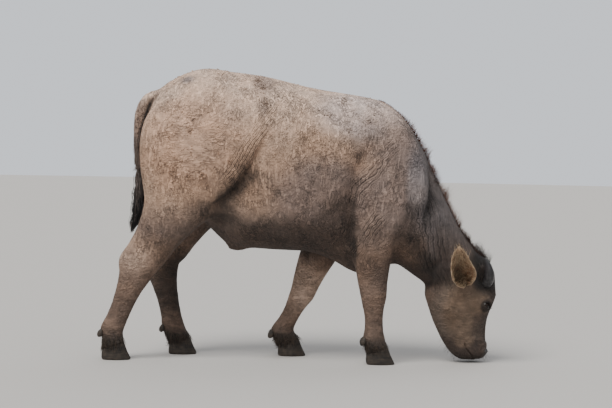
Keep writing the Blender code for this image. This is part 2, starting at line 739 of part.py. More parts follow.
def coronet_box(foot, grow):
    """The space below the coronet, whose upper face carries the claws."""
    rear, front = (Vector((x, 0, z)) for x, z in (CORONET_REAR, CORONET_FRONT))
    slope = (front - rear).normalized()
    below = Vector((slope.z, 0, -slope.x)) * CORONET_BLOCK[2] / 2
    centre = Vector((foot.x, foot.y, 0)) + (rear + front) / 2 + below
    return box("coronet", centre, CORONET_BLOCK, -math.degrees(math.asin(slope.z)), grow=grow)


def part_off(body, name, region):
    """Cuts one piece off the body along the faces of a box."""
    piece = copy_of(body, name)
    carve(piece, box("inside", *region), "INTERSECT")
    carve(body, box("outside", *region, grow=GAP))
    return piece


def build_head(body):
    """The head, parted from the body, with its eyes, ears and horns: each with its finish."""
    head = copy_of(body, "head")
    carve(head, box("inside", *HEAD_BOX, grow=HEAD_OVERLAP), "INTERSECT")
    carve(body, box("outside", *HEAD_BOX, grow=-HEAD_OVERLAP))
    thin_out(body, BODY_TRIANGLES)
    root_in(body, mane_locks())
    carve(body, box("outside", *HEAD_BOX, grow=GAP))
    head_features(head)
    thin_out(head, HEAD_TRIANGLES)
    root_in(head, mane_locks() + poll_locks(head))
    carve(head, box("inside", *HEAD_BOX), "INTERSECT")
    made = [(head, "hide")]
    for word, side in SIDES.items():
        ball = eye("eye_" + word, side)
        carve(head, grown(ball, GAP))
        made.append((ball, "eye"))
    for word, side in SIDES.items():
        for name, form, finish in (("ear_", ear, "ear_hide"), ("horn_", horn, "horn")):
            obj = form(name + word, side)
            carve(obj, grown(head, GAP))
            made.append((obj, finish))
    return made


def build_leg(body, name):
    """One leg, parted from the body, with its two claws and two dewclaws."""
    piece = part_off(body, name, LEG_BOXES[name])
    fetlock, foot = (Vector(p) for p in LEG_JOINTS[name][2:])
    carve(piece, coronet_box(foot, GAP))
    made = [(piece, "hide")]
    outside = SIDES[name.split("_")[1]]
    for word, side in (("outer", outside), ("inner", -outside)):
        made.append((claw(f"claw_{name}_{word}", foot, side), "claw"))
        middle = fetlock + mirrored(DEWCLAW_MIDDLE, side)
        spur = ellipsoid(f"dewclaw_{name}_{word}", middle, DEWCLAW_RADII, lean=30, segments=10, rings=6)
        carve(spur, grown(piece, GAP))
        made.append((spur, "claw"))
    return made


def build_tail(body):
    """The tail, rooted in the rump, and the switch of hair at its end."""
    middle = Vector((TAIL_PATH[-1][0], 0, SWITCH_LEVEL))
    half = Vector((0, 0, TAIL_BLOCK[2] / 2))
    tail = strand("tail", TAIL_PATH, TAIL_HALF, TAIL_HALF, (1, 0, 0), count=14)
    carve(tail, grown(body, GAP))
    carve(tail, box("below", middle - half, TAIL_BLOCK, grow=GAP))
    switch = strand("tail_switch", SWITCH_PATH, SWITCH_HALF, SWITCH_HALF, (1, 0, 0), count=14)
    root_in(switch, switch_locks())
    carve(switch, box("above", middle + half, TAIL_BLOCK))
    return [(tail, "hide"), (switch, "tail_hair")]


def dress(obj, finish, collection):
    """Gives a finished node its own material and puts it in the model's collection."""
    colour, roughness = FINISHES[finish]
    material = bpy.data.materials.new(obj.name + "_material")
    material.use_nodes = True
    shader = material.node_tree.nodes["Principled BSDF"]
    shader.inputs["Base Color"].default_value = (*colour, 1.0)
    shader.inputs["Roughness"].default_value = roughness
    obj.data.materials.clear()
    obj.data.materials.append(material)
    obj.data.shade_smooth()
    obj.data.set_sharp_from_angle(angle=math.radians(SHARP_ANGLE))
    for holder in list(obj.users_collection):
        holder.objects.unlink(obj)
    collection.objects.link(obj)


def main():
    clear_scene()
    body = fuse("torso", body_masses(), BODY_VOXEL)
    soften(body, BODY_ROUNDS, body_softness)
    nodes = build_head(body)
    nodes.append((part_off(body, "neck", NECK_BOX), "hide"))
    for name in LEG_JOINTS:
        nodes += build_leg(body, name)
    nodes += build_tail(body) + [(body, "hide")]
    collection = bpy.data.collections.new(COLLECTION)
    bpy.context.scene.collection.children.link(collection)
    for obj, finish in nodes:
        obj.location.x -= MIDDLE_X
        dress(obj, finish, collection)


main()
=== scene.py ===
"""A young swamp buffalo, grazing: the looks of the model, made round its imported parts.

Metres, +Z up, +X towards the head, -Y the animal's right. One skin stands for every node of
flesh. Its finer forms are worked into it: the folds, the lids, the nostrils and the lips. The
hair grows from it as solid tufts. Places on the head are given for a head that looks straight
ahead, and are then turned with it.
"""

import math

import bpy
import numpy as np
from mathutils import Matrix, Vector


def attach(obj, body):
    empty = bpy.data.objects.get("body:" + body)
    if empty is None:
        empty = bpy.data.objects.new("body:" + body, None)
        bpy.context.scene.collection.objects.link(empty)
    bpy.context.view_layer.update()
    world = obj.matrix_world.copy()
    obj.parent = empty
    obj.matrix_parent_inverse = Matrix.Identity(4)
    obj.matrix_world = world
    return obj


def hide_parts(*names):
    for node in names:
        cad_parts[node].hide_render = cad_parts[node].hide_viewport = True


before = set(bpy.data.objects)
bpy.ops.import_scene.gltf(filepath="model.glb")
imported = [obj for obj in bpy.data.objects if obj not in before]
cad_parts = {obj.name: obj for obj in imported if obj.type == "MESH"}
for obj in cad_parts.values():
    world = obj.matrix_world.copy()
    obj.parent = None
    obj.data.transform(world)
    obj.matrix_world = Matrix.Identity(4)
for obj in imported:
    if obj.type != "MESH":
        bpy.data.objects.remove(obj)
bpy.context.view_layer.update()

# The head is turned to the animal's left about an upright axis
HEAD_TURN = math.radians(20.0)
HEAD_AXIS = 0.6352

# The skin: how coarse it is at first, and how far the locks of the solids are pared off
FLESH = ("torso", "neck", "head", "foreleg_right", "foreleg_left", "hindleg_right", "hindleg_left", "tail")
SKIN_VOXEL = 0.0098
PARE = 0.004

# The eye, its opening and its lids, on one side
EYE = (0.7182, 0.0795, 0.232)
EYE_RADIUS = 0.0185
EYE_LEAN = math.radians(42.0)
EYE_OUT = (0.2, 0.97, 0.04)
OPENING = (0.0186, 0.0118, 0.0098)

# The muzzle: the nostril's line, and the line of the mouth in the side view
NOSTRIL = ((0.7545, 0.0265, 0.064), (0.75, 0.0375, 0.056), (0.738, 0.044, 0.05))
MOUTH_MIDDLE = (0.6702, 0.04)
MOUTH_LEAN = math.radians(26.0)
MOUTH_CORNER = 0.088

# How far the legs of the left side stand from those of the right, and between which levels a
# shoulder or a haunch is carried with its leg
SWING = {
    "fore": (-0.18, 0.8, 0.48),
    "hind": (0.04, 0.85, 0.56),
    "none": (0.0, 1.0, 0.0),
    "head": (0.0, 1.0, 0.0),
}

# Rows of folds in the side view: the limb that carries them, their line, the space between two
# folds, how far the row reaches behind and in front of its line, and how deep the folds are
FOLD_ROWS = {
    "flank": ("hind", ((-0.06, 1.01), (-0.12, 0.95), (-0.16, 0.89), (-0.19, 0.839), (-0.222, 0.784),
                       (-0.262, 0.713), (-0.3, 0.66)), 0.013, 0.07, 0.02, 0.0026),
    "arm_fan": ("fore", ((0.205, 0.6), (0.232, 0.668), (0.268, 0.735), (0.33, 0.81), (0.385, 0.875)),
                0.017, 0.03, 0.075, 0.0018),
    "arm_low": ("fore", ((0.208, 0.415), (0.245, 0.48), (0.29, 0.55), (0.32, 0.6)),
                0.017, 0.04, 0.05, 0.0016),
    "neck": ("none", ((0.47, 0.74), (0.508, 0.592), (0.553, 0.407), (0.592, 0.25)),
             0.019, 0.11, 0.085, 0.0011),
}
# Single forms in the side view: the limb, the line, the width and the height, which is below
# nothing for a groove
LINES = {
    "blade_ridge": ("fore", ((0.452, 0.93), (0.474, 0.848), (0.48, 0.789), (0.482, 0.711), (0.48, 0.652),
                             (0.468, 0.593)), 0.026, 0.011),
    "blade_front": ("fore", ((0.502, 0.86), (0.516, 0.789), (0.522, 0.711), (0.515, 0.64), (0.49, 0.56)),
                    0.022, -0.0105),
    "blade_rear": ("fore", ((0.318, 0.923), (0.262, 0.844), (0.222, 0.746), (0.203, 0.668), (0.197, 0.602),
                            (0.2, 0.512), (0.212, 0.445)), 0.026, -0.012),
    "blade_spine": ("fore", ((0.37, 0.96), (0.385, 0.87), (0.395, 0.78), (0.385, 0.69)), 0.03, 0.0045),
    "arm_cleft": ("fore", ((0.42, 0.66), (0.365, 0.59), (0.322, 0.52), (0.3, 0.44)), 0.022, -0.0055),
    "thigh_front": ("hind", ((-0.105, 0.96), (-0.15, 0.88), (-0.185, 0.81), (-0.222, 0.745), (-0.258, 0.694),
                             (-0.3, 0.655), (-0.35, 0.62)), 0.024, -0.006),
    "thigh_swell": ("hind", ((-0.3, 0.96), (-0.33, 0.86), (-0.37, 0.78), (-0.42, 0.7)), 0.07, 0.007),
    "thigh_cleft": ("hind", ((-0.47, 0.96), (-0.5, 0.86), (-0.515, 0.76), (-0.53, 0.66), (-0.56, 0.56)),
                    0.026, -0.006),
    "hock_cleft": ("hind", ((-0.6, 0.575), (-0.624, 0.52), (-0.64, 0.47), (-0.652, 0.41)), 0.012, -0.0095),
    "hock_swell": ("hind", ((-0.655, 0.51), (-0.674, 0.465), (-0.684, 0.42), (-0.69, 0.37)), 0.016, 0.006),
    "hock_front": ("hind", ((-0.56, 0.44), (-0.59, 0.39), (-0.62, 0.33)), 0.02, 0.004),
    "shank_cleft": ("hind", ((-0.625, 0.4), (-0.655, 0.32), (-0.68, 0.24)), 0.011, -0.004),
    "shin_cleft": ("fore", ((0.3, 0.43), (0.304, 0.36), (0.306, 0.3)), 0.012, -0.0035),
    "knee": ("fore", ((0.262, 0.268), (0.325, 0.268)), 0.026, 0.003),
    "last_rib": ("none", ((-0.06, 0.96), (-0.095, 0.86), (-0.11, 0.76), (-0.095, 0.65)), 0.045, 0.005),
    "rib_1": ("none", ((0.02, 0.97), (-0.012, 0.87), (-0.026, 0.76), (-0.01, 0.62)), 0.018, 0.003),
    "rib_2": ("none", ((0.088, 0.96), (0.058, 0.86), (0.046, 0.75), (0.062, 0.6)), 0.018, 0.003),
    "rib_3": ("none", ((0.152, 0.95), (0.124, 0.85), (0.114, 0.74), (0.128, 0.59)), 0.018, 0.0026),
    "belly_crease": ("none", ((-0.215, 0.5), (-0.12, 0.52), (0.0, 0.515), (0.12, 0.48)), 0.024, -0.004),
    "throat": ("none", ((0.43, 0.52), (0.48, 0.43), (0.52, 0.35)), 0.024, -0.006),
    "jowl": ("none", ((0.56, 0.56), (0.575, 0.47), (0.59, 0.38)), 0.03, -0.006),
}
# Edges over which a form stands proud of what lies beside it, in the side view: the limb, the
# line from above downwards, the side that lies lower (1 is in front), how deep it lies, and how
# far that reaches
STEPS = {
    "blade_edge": ("fore", ((0.478, 0.95), (0.494, 0.848), (0.5, 0.789), (0.501, 0.711), (0.496, 0.652),
                            (0.48, 0.58)), 1, 0.015, 0.08),
    "arm_edge": ("fore", ((0.3, 0.88), (0.255, 0.81), (0.228, 0.74), (0.213, 0.668), (0.206, 0.602),
                          (0.207, 0.512), (0.218, 0.43)), -1, 0.021, 0.1),
    "thigh_edge": ("hind", ((-0.13, 0.92), (-0.168, 0.86), (-0.2, 0.8), (-0.232, 0.74), (-0.268, 0.69),
                            (-0.32, 0.645), (-0.38, 0.6)), 1, 0.018, 0.11),
    "jaw_edge": ("head", ((0.56, 0.42), (0.535, 0.345), (0.54, 0.29)), -1, 0.01, 0.06),
}
# Cracks in the dried mud, in the side view
CRACKS = (
    ((-0.431, 0.944), (-0.405, 0.961), (-0.381, 0.972), (-0.35, 0.981), (-0.327, 0.985)),
    ((-0.245, 1.035), (-0.225, 1.01), (-0.2, 0.995), (-0.178, 0.985)),
    ((-0.3, 0.93), (-0.26, 0.905), (-0.24, 0.87)),
    ((0.05, 1.02), (0.07, 0.985), (0.1, 0.965)),
)

# Lines in the side view: the groove between the tail and the rump, the gap below it, the pocket before the
# thigh and the shade at the throat; painted shade lies along all four
TAIL_GROOVE = ((-0.56, 1.062), (-0.585, 1.04), (-0.606, 1.022), (-0.616, 0.985), (-0.632, 0.92),
               (-0.641, 0.85), (-0.643, 0.76))
TAIL_GAP = ((-0.588, 1.05), (-0.603, 1.022), (-0.619, 0.985), (-0.631, 0.94), (-0.642, 0.899),
            (-0.648, 0.84), (-0.646, 0.78), (-0.642, 0.72))
POCKET = ((-0.205, 0.73), (-0.25, 0.675), (-0.3, 0.635), (-0.35, 0.612))
THROAT_SHADE = ((0.43, 0.5), (0.5, 0.41), (0.55, 0.33))

# Forms of one side of the face: the line on a straight head, the width and the height
FACE_LINES = (
    (((0.705, 0.075, 0.205), (0.69, 0.068, 0.165), (0.688, 0.06, 0.12)), 0.011, 0.0035),
    (((0.64, 0.08, 0.3), (0.6, 0.08, 0.25), (0.575, 0.07, 0.18)), 0.014, -0.003),
    (((0.665, 0.075, 0.15), (0.64, 0.07, 0.11), (0.632, 0.06, 0.08)), 0.01, -0.0022),
    (((0.738, 0.05, 0.19), (0.728, 0.045, 0.14), (0.722, 0.045, 0.1)), 0.01, -0.0028),
    (((0.735, 0.055, 0.095), (0.715, 0.058, 0.08), (0.7, 0.056, 0.062)), 0.005, -0.0016),
    (((0.73, 0.052, 0.11), (0.708, 0.058, 0.094), (0.69, 0.058, 0.076)), 0.005, -0.0013),
    (((0.76, 0.01, 0.33), (0.772, 0.012, 0.25), (0.77, 0.01, 0.16)), 0.016, 0.002),
    (((0.62, 0.0, 0.575), (0.68, 0.0, 0.485), (0.708, 0.0, 0.44), (0.735, 0.0, 0.39)),
     0.036, -0.019),
)

# The tones of the hide and the mud, as they are seen, 0 to 255; the black, dark and pit tones are also
# painted shade, the grey mud also a painted highlight, and the pale leg tone painted light
TONES = {
    "pale_mud": (205, 177, 156),
    "mud": (172, 141, 118),
    "damp_mud": (121, 105, 98),
    "hide": (92, 84, 82),
    "dark_hide_and_shade": (66, 54, 47),
    "black_hide_and_shade": (34, 27, 23),
    "cheek": (108, 89, 73),
    "jaw": (94, 81, 71),
    "leg": (112, 91, 77),
    "foot": (56, 47, 41),
    "pit": (17, 13, 12),
    "slate": (104, 99, 101),
    "warm_mud": (196, 158, 132),
    "grey_mud_and_highlight": (196, 182, 176),
    "painted_leg_light": (186, 158, 138),
}

# Hair: how many tufts of each kind, how deep they root, how near they come to the floor, and how
# large each one's patch of the unwrap is
TUFTS = {
    "coat": 15000,
    "nape_hair": 3600,
    "poll_hair": 3600,
    "mud_crumbs": 1900,
    "coronet_hair": 7000,
    "whiskers": 420,
    "tail_hair": 2200,
    "tail_locks": 1100,
    "ear_hair": 3200,
    "lashes": 90,
}
ROOT_DEPTH = 0.001
FLOOR_GAP = 0.0015
PATCH = 0.0015
# Places in the side view: the crest's line, the larger clods, and the switch's line with its radii
CREST_LINE = ((0.33, 1.02), (0.396, 0.986), (0.437, 0.935), (0.491, 0.848), (0.553, 0.729),
              (0.616, 0.59), (0.658, 0.511), (0.711, 0.452))
CLODS = ((-0.437, 0.722), (-0.387, 0.73), (-0.504, 0.748), (-0.271, 0.787), (-0.437, 0.908),
         (0.106, 0.977), (0.184, 0.92), (0.163, 1.036), (0.261, 0.96), (-0.148, 1.02),
         (-0.162, 1.08), (-0.182, 1.109))
SWITCH_LINE = ((-0.655, 0.86), (-0.653, 0.78), (-0.65, 0.71), (-0.6475, 0.65),
               (-0.651, 0.59), (-0.664, 0.54), (-0.68, 0.49))
SWITCH_RADII = (0.0085, 0.0095, 0.015, 0.0215, 0.022, 0.0185, 0.0065)

# The ear on a straight head: its middle line, the way it opens, and at even steps from its root
# how many degrees it wraps to each side and its radius
EAR_PATH = ((0.627, 0.06, 0.33), (0.601, 0.108, 0.358), (0.576, 0.138, 0.41), (0.562, 0.156, 0.474))
EAR_OPEN = (-0.245, 0.964, 0.0)
EAR_WRAP = (176, 168, 146, 112, 86, 68, 56, 48, 42)
EAR_RADIUS = (0.015, 0.02, 0.032, 0.041, 0.0455, 0.0455, 0.041, 0.03, 0.006)
EAR_THICKNESS = 0.0034

# The horn's line, the thickness of the lids' wet edge, and how finely horns and claws are remade,
# for claws with the rounds of wear on their edges
HORN_PATH = ((0.7132, 0.055, 0.318), (0.7192, 0.086, 0.328), (0.7192, 0.107, 0.352),
             (0.7102, 0.117, 0.388), (0.6942, 0.119, 0.424))
LID_EDGE = 0.0014
HORN_VOXEL = 0.0016
CLAW_WEAR = (0.0022, 14)
DEWCLAW_WEAR = (0.0016, 8)

# The camera: where it stands, how far it looks down, how far it leans, and its lens
CAMERA_PLACE = (0.0192, -7.0, 0.845)
CAMERA_TILT = math.atan(55.5 / 1750.0)
CAMERA_ROLL = math.radians(1.1)
CAMERA_LENS = 102.94

# Each lamp: the way to it, how many degrees it spreads, its power and its colour
LAMPS = {
    "key": ((-0.62, -0.95, 1.55), 34.0, 3.1, (1.0, 0.965, 0.915)),
    "top": ((-0.1, 0.1, 1.0), 100.0, 1.0, (0.97, 0.98, 1.0)),
    "fill": ((1.0, -1.1, 0.45), 70.0, 0.28, (0.9, 0.95, 1.0)),
    "back": ((0.5, 1.2, 0.9), 60.0, 0.55, (0.96, 0.98, 1.0)),
}
# The studio's light, and the paler backdrop that only the camera sees: colour and strength
STUDIO_LIGHT = ((0.92, 0.95, 1.0, 1.0), 0.3)
BACKDROP = ((0.9, 0.94, 1.0, 1.0), 0.95)
FLOOR_RADIUS = 40.0
FLOOR_COLOUR = (0.5, 0.485, 0.465, 1.0)

rng = np.random.default_rng(5)


# Small helps


def deselect():
    if bpy.context.mode != "OBJECT":
        bpy.ops.object.mode_set(mode="OBJECT")
    bpy.ops.object.select_all(action="DESELECT")


def pick(obj):
    """Makes one object the selected and active one."""
    deselect()
    obj.select_set(True)
    bpy.context.view_layer.objects.active = obj
    return obj


def modify(obj, kind, **values):
    """Adds a modifier with these values and applies it."""
    pick(obj)
    made = obj.modifiers.new(kind.lower(), kind)
    for name, value in values.items():
        setattr(made, name, value)
    bpy.ops.object.modifier_apply(modifier=made.name)


def node_copy(*nodes):
    """The solids of some nodes as one new mesh, with their loose triangles merged."""
    deselect()
    for node in nodes:
        made = bpy.data.objects.new(node + "_copy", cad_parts[node].data.copy())
        bpy.context.scene.collection.objects.link(made)
        made.select_set(True)
        bpy.context.view_layer.objects.active = made
    bpy.ops.object.join()
    made = bpy.context.view_layer.objects.active
    made.data.materials.clear()
    bpy.ops.object.mode_set(mode="EDIT")
    bpy.ops.mesh.select_all(action="SELECT")
    bpy.ops.mesh.remove_doubles(threshold=0.00002)
    bpy.ops.object.mode_set(mode="OBJECT")
    return made


def keep_largest(obj):
    """Leaves only the largest closed surface."""
    pick(obj)
    bpy.ops.object.mode_set(mode="EDIT")
    bpy.ops.mesh.separate(type="LOOSE")
    bpy.ops.object.mode_set(mode="OBJECT")
    pieces = list(bpy.context.selected_objects)
    largest = max(pieces, key=lambda piece: len(piece.data.vertices))
    for piece in pieces:
        if piece is not largest:
            bpy.data.objects.remove(piece)
    return largest


def points_of(obj):
    found = np.empty(len(obj.data.vertices) * 3)
    obj.data.vertices.foreach_get("co", found)
    return found.reshape(-1, 3)


def normals_of(obj):
    found = np.empty(len(obj.data.vertices) * 3)
    obj.data.vertex_normals.foreach_get("vector", found)
    return found.reshape(-1, 3)


def place_points(obj, points):
    obj.data.vertices.foreach_set("co", points.ravel())
    obj.data.update()


def subdivide_where(obj, chosen):
    """Cuts the faces whose middles are chosen into four."""
    mesh = obj.data
    middles = np.empty(len(mesh.polygons) * 3)
    mesh.polygons.foreach_get("center", middles)
    pick(obj)
    bpy.ops.object.mode_set(mode="EDIT")
    bpy.ops.mesh.select_mode(type="FACE")
    bpy.ops.mesh.select_all(action="DESELECT")
    bpy.ops.object.mode_set(mode="OBJECT")
    mesh.polygons.foreach_set("select", chosen(middles.reshape(-1, 3)))
    bpy.ops.object.mode_set(mode="EDIT")
    bpy.ops.mesh.subdivide(number_cuts=1)
    bpy.ops.object.mode_set(mode="OBJECT")


def soften(obj, rounds, weight):
    """Draws each point towards its neighbours, by the weight of its place."""
    group = obj.vertex_groups.new(name="soft")
    for index, value in enumerate(weight(points_of(obj))):
        group.add([index], float(value), "REPLACE")
    modify(obj, "SMOOTH", factor=0.5, iterations=rounds, vertex_group="soft")
    obj.vertex_groups.clear()


def unit(vectors):
    return vectors / np.maximum(np.linalg.norm(vectors, axis=-1, keepdims=True), 1e-9)


# Fields: each takes an array of places and gives a number for each of them


def ramp(values, start, end):
    share = np.clip((values - start) / (end - start), 0.0, 1.0)
    return share * share * (3 - 2 * share)


def bell(values, width):
    return np.exp(-((values / width) ** 2))


def near_path(places, path):
    """How far each place is from a path, how far along it the nearest point is, and on which side."""
    path = np.array(path, float)
    steps = np.diff(path, axis=0)
    lengths = np.linalg.norm(steps, axis=1)
    starts = np.concatenate([[0.0], np.cumsum(lengths)])
    best = np.full(len(places), 1e9)
    along = np.zeros(len(places))
    turn = np.ones(len(places))
    for start, step, length, before in zip(path, steps, lengths, starts):
        away = places - start
        share = np.clip(away @ step / length**2, 0.0, 1.0)
        gap = away - share[:, None] * step
        distance = np.linalg.norm(gap, axis=1)
        closer = distance < best
        best = np.where(closer, distance, best)
        along = np.where(closer, (before + share * length) / starts[-1], along)
        cross = step[0] * away[:, -1] - step[-1] * away[:, 0]
        turn = np.where(closer, np.where(cross < 0, -1.0, 1.0), turn)
    return best, along, turn


def to_head(points):
    """Places on the turned head as if it looked straight ahead."""
    cos, sin = math.cos(-HEAD_TURN), math.sin(-HEAD_TURN)
    x, y = points[:, 0] - HEAD_AXIS, points[:, 1]
    return np.stack([HEAD_AXIS + x * cos - y * sin, x * sin + y * cos, points[:, 2]], axis=1)


def from_head(points):
    points = np.atleast_2d(np.array(points, float))
    cos, sin = math.cos(HEAD_TURN), math.sin(HEAD_TURN)
    x, y = points[:, 0] - HEAD_AXIS, points[:, 1]
    return np.stack([HEAD_AXIS + x * cos - y * sin, x * sin + y * cos, points[:, 2]], axis=1)


def one_side_of_head(points):
    """Places on the head as if it looked straight ahead, with its right side laid on its left."""
    q = to_head(points)
    q[:, 1] = np.abs(q[:, 1])
    return q


def head_share(points):
    """One on the head, nothing on the neck behind it."""
    return ramp(points[:, 0] * 0.76 - points[:, 2] * 0.65, 0.2, 0.26)


def haze(points, size, seed):
    """A smooth random field from about -1 to 1, whose blots are about as large as size."""
    draw = np.random.default_rng(seed)
    total = np.zeros(len(points))
    for _ in range(9):
        way = unit(draw.normal(size=3)) * draw.uniform(0.6, 1.5) * 3.1 / size
        total += np.sin(points @ way + draw.uniform(0, 6.28))
    return total / 3.2


# The skin


def melt(points):
    """How much each place is softened: the trunk most, the legs and the tail least."""
    x, y, z = points.T
    trunk = ramp(z, 0.4, 0.6)
    tail = ramp(x, -0.56, -0.6) * bell(y, 0.05)
    head = head_share(points)
    poll = head * ramp(z, 0.34, 0.4)
    limb = 0.03 + 0.15 * ramp(z, 0.08, 0.16)
    body = limb + (1 - limb) * trunk * (1 - 0.8 * tail)
    return np.maximum(body * (1 - head) + 0.45 * head, poll)


def build_skin():
    """One skin over all the flesh, finer on the head and finest about the eyes and the muzzle."""
    skin = node_copy(*FLESH, "eye_right", "eye_left")
    modify(skin, "REMESH", mode="VOXEL", voxel_size=SKIN_VOXEL * 0.65)
    modify(skin, "DISPLACE", strength=-PARE, mid_level=0.0)
    modify(skin, "REMESH", mode="VOXEL", voxel_size=SKIN_VOXEL)
    skin = keep_largest(skin)
    modify(skin, "DISPLACE", strength=PARE, mid_level=0.0)
    skin.name = "skin"
    soften(skin, 24, melt)
    subdivide_where(skin, folded_places)
    soften(skin, 4, head_share)
    subdivide_where(skin, fine_places)
    soften(skin, 3, lambda p: fine_places(p).astype(float))
    return skin


def folded_places(points):
    """The head, the tail and the rows of folds on the flank, the arm and the neck."""
    flat = points[:, (0, 2)]
    chosen = head_share(points) > 0.4
    for limb, path, _, behind, front, _ in FOLD_ROWS.values():
        for side in (-1, 1):
            near = near_path(flat, for_side(path, limb, side))[0] < max(behind, front) * 0.85
            chosen |= near & (points[:, 1] * side > 0.03)
    tail = (points[:, 0] < -0.6) & (np.abs(points[:, 1]) < 0.06) & (points[:, 2] > 0.7)
    return chosen | tail


def fine_places(points):
    """About the eyes, the nostrils and the mouth."""
    q = one_side_of_head(points)
    eye = np.linalg.norm(q - EYE, axis=1) < 0.036
    muzzle = (q[:, 2] < 0.1) & (q[:, 0] > 0.55)
    return eye | muzzle


def for_side(path, limb, side):
    """A line of the right side as it lies on this side, carried with its limb."""
    shift, top, bottom = SWING[limb]
    path = np.array(path, float)
    if side > 0:
        path[:, 0] += shift * np.clip((top - path[:, 1]) / (top - bottom), 0, 1)
    return path


def tail_cleft(points):
    """How deep the groove between the tail and the rump is at each place."""
    distance, along, _ = near_path(points[:, (0, 2)], TAIL_GROOVE)
    beside = ramp(np.abs(points[:, 1]), 0.01, 0.022) * ramp(np.abs(points[:, 1]), 0.12, 0.07)
    return bell(distance, 0.01) * beside * ramp(along, 0.0, 0.2) * ramp(along, 1.0, 0.9)


def each_side(points, normals, limb, path):
    """Distance, share along and side of the line for every place, and how much it faces sideways."""
    flat = points[:, (0, 2)]
    found = [near_path(flat, for_side(path, limb, side)) for side in (-1, 1)]
    left = points[:, 1] > 0
    distance, along, turn = (np.where(left, b, a) for a, b in zip(*found))
    facing = ramp(np.abs(normals[:, 1]), 0.15, 0.55)
    return distance, along, turn, facing


def fold_fields(points, normals):
    """The phase of the folds, counted in folds, and how strong they are."""
    phase, strength, height = (np.zeros(len(points)) for _ in range(3))
    body = 1 - head_share(points)
    for limb, path, space, behind, front, depth in FOLD_ROWS.values():
        distance, along, turn, facing = each_side(points, normals, limb, path)
        reach = np.where(turn > 0, front, behind)
        row = ramp(distance, reach, reach * 0.35) * ramp(along, 0.0, 0.15) * ramp(along, 1.0, 0.85)
        row = row * facing * body * (0.35 + 0.65 * ramp(haze(points, 0.05, 3), -0.5, 0.5))
        waves = distance * turn / space + 0.55 * haze(points, 0.09, 4) + 0.12 * haze(points, 0.022, 6)
        taken = row > strength
        phase = np.where(taken, waves, phase)
        strength = np.where(taken, row, strength)
        height += row * depth * (np.abs(np.sin(math.pi * waves)) - 0.6)
    return phase, strength, height


def line_heights(points, normals):
    height = np.zeros(len(points))
    body = 1 - head_share(points)
    for limb, path, width, rise in LINES.values():
        distance, along, _, facing = each_side(points, normals, limb, path)
        ends = ramp(along, 0.0, 0.2) * ramp(along, 1.0, 0.8)
        height += rise * bell(distance, width) * ends * facing * body
    return height


def step_heights(points, normals):
    """How far the hide sinks beside the edges of the shoulder and the thigh."""
    height = np.zeros(len(points))
    for limb, path, low, depth, reach in STEPS.values():
        distance, along, turn, facing = each_side(points, normals, limb, path)
        beyond = distance * turn * low
        sunk = ramp(beyond, -0.004, 0.016) * ramp(beyond, reach, 0.012)
        height -= depth * sunk * ramp(along, 0.0, 0.3) * ramp(along, 1.0, 0.85) * facing
    return height


def crack_field(points):
    """How far each place is from the nearest crack in the mud, in the side view."""
    flat = points[:, (0, 2)]
    return np.min([near_path(flat, path)[0] for path in CRACKS], axis=0)


def work_body(skin):
    """The folds of the hide and the forms of the bones and muscles under it."""
    points, normals = points_of(skin), normals_of(skin)
    height = line_heights(points, normals) + step_heights(points, normals) - 0.012 * tail_cleft(points)
    place_points(skin, points + normals * height[:, None])
    points, normals = points_of(skin), normals_of(skin)
    height = fold_fields(points, normals)[2]
    place_points(skin, points + normals * height[:, None])


def eye_frame():
    """The eye's own directions: along its opening, across it and out of the head."""
    out = Vector(EYE_OUT).normalized()
    along = Vector((math.cos(EYE_LEAN), 0, -math.sin(EYE_LEAN)))
    along = (along - out * along.dot(out)).normalized()
    up = along.cross(out)
    if up.z < 0:
        up = -up
    return np.array(along), np.array(up), np.array(out)


def opening_edge(along):
    """The upper and lower edge of the opening at a place along it."""
    length, upper, lower = OPENING
    bow = np.clip(1 - (along / length) ** 2, 0, 1) ** 0.75
    return upper * bow, -lower * bow


def work_eyes(q):
    """Lids that lie on the ball and leave its opening free; q is of one side of a straight head."""
    along, up, out = eye_frame()
    away = q - EYE
    a, u, w = away @ along, away @ up, away @ out
    round_eye = np.hypot(a, u)
    near = (round_eye < 0.05) & (w > -0.012)
    lid = EYE_RADIUS + 0.0034
    dome = np.sqrt(np.clip(lid**2 - round_eye**2, 0, None))
    skirt = np.where(round_eye < lid * 0.92, dome, lid * 0.39 - (round_eye - lid * 0.92) * 1.4)
    brow = 0.006 * bell(u - 0.0235, 0.009) * bell(a, 0.026)
    crease = -0.0022 * bell(u - 0.015 - 0.1 * a, 0.0028) * bell(a, 0.018)
    under = -0.0016 * bell(u + 0.015, 0.0026) * bell(a, 0.016)
    second = -0.0012 * bell(u + 0.0205, 0.0026) * bell(a + 0.003, 0.016)
    tear = -0.003 * bell(u + 0.55 * (a - OPENING[0]) + 0.001, 0.003)
    tear = tear * ramp(a, OPENING[0], 0.021) * ramp(a, 0.034, 0.024)
    lifted = np.maximum(w, skirt) + brow + crease + under + second + tear
    top, bottom = opening_edge(a)
    inside = (u < top - 0.0004) & (u > bottom + 0.0004) & (np.abs(a) < OPENING[0])
    depth = np.where(inside, 0.006, lifted)
    moved = q + (np.where(near, depth, w) - w)[:, None] * out
    return moved


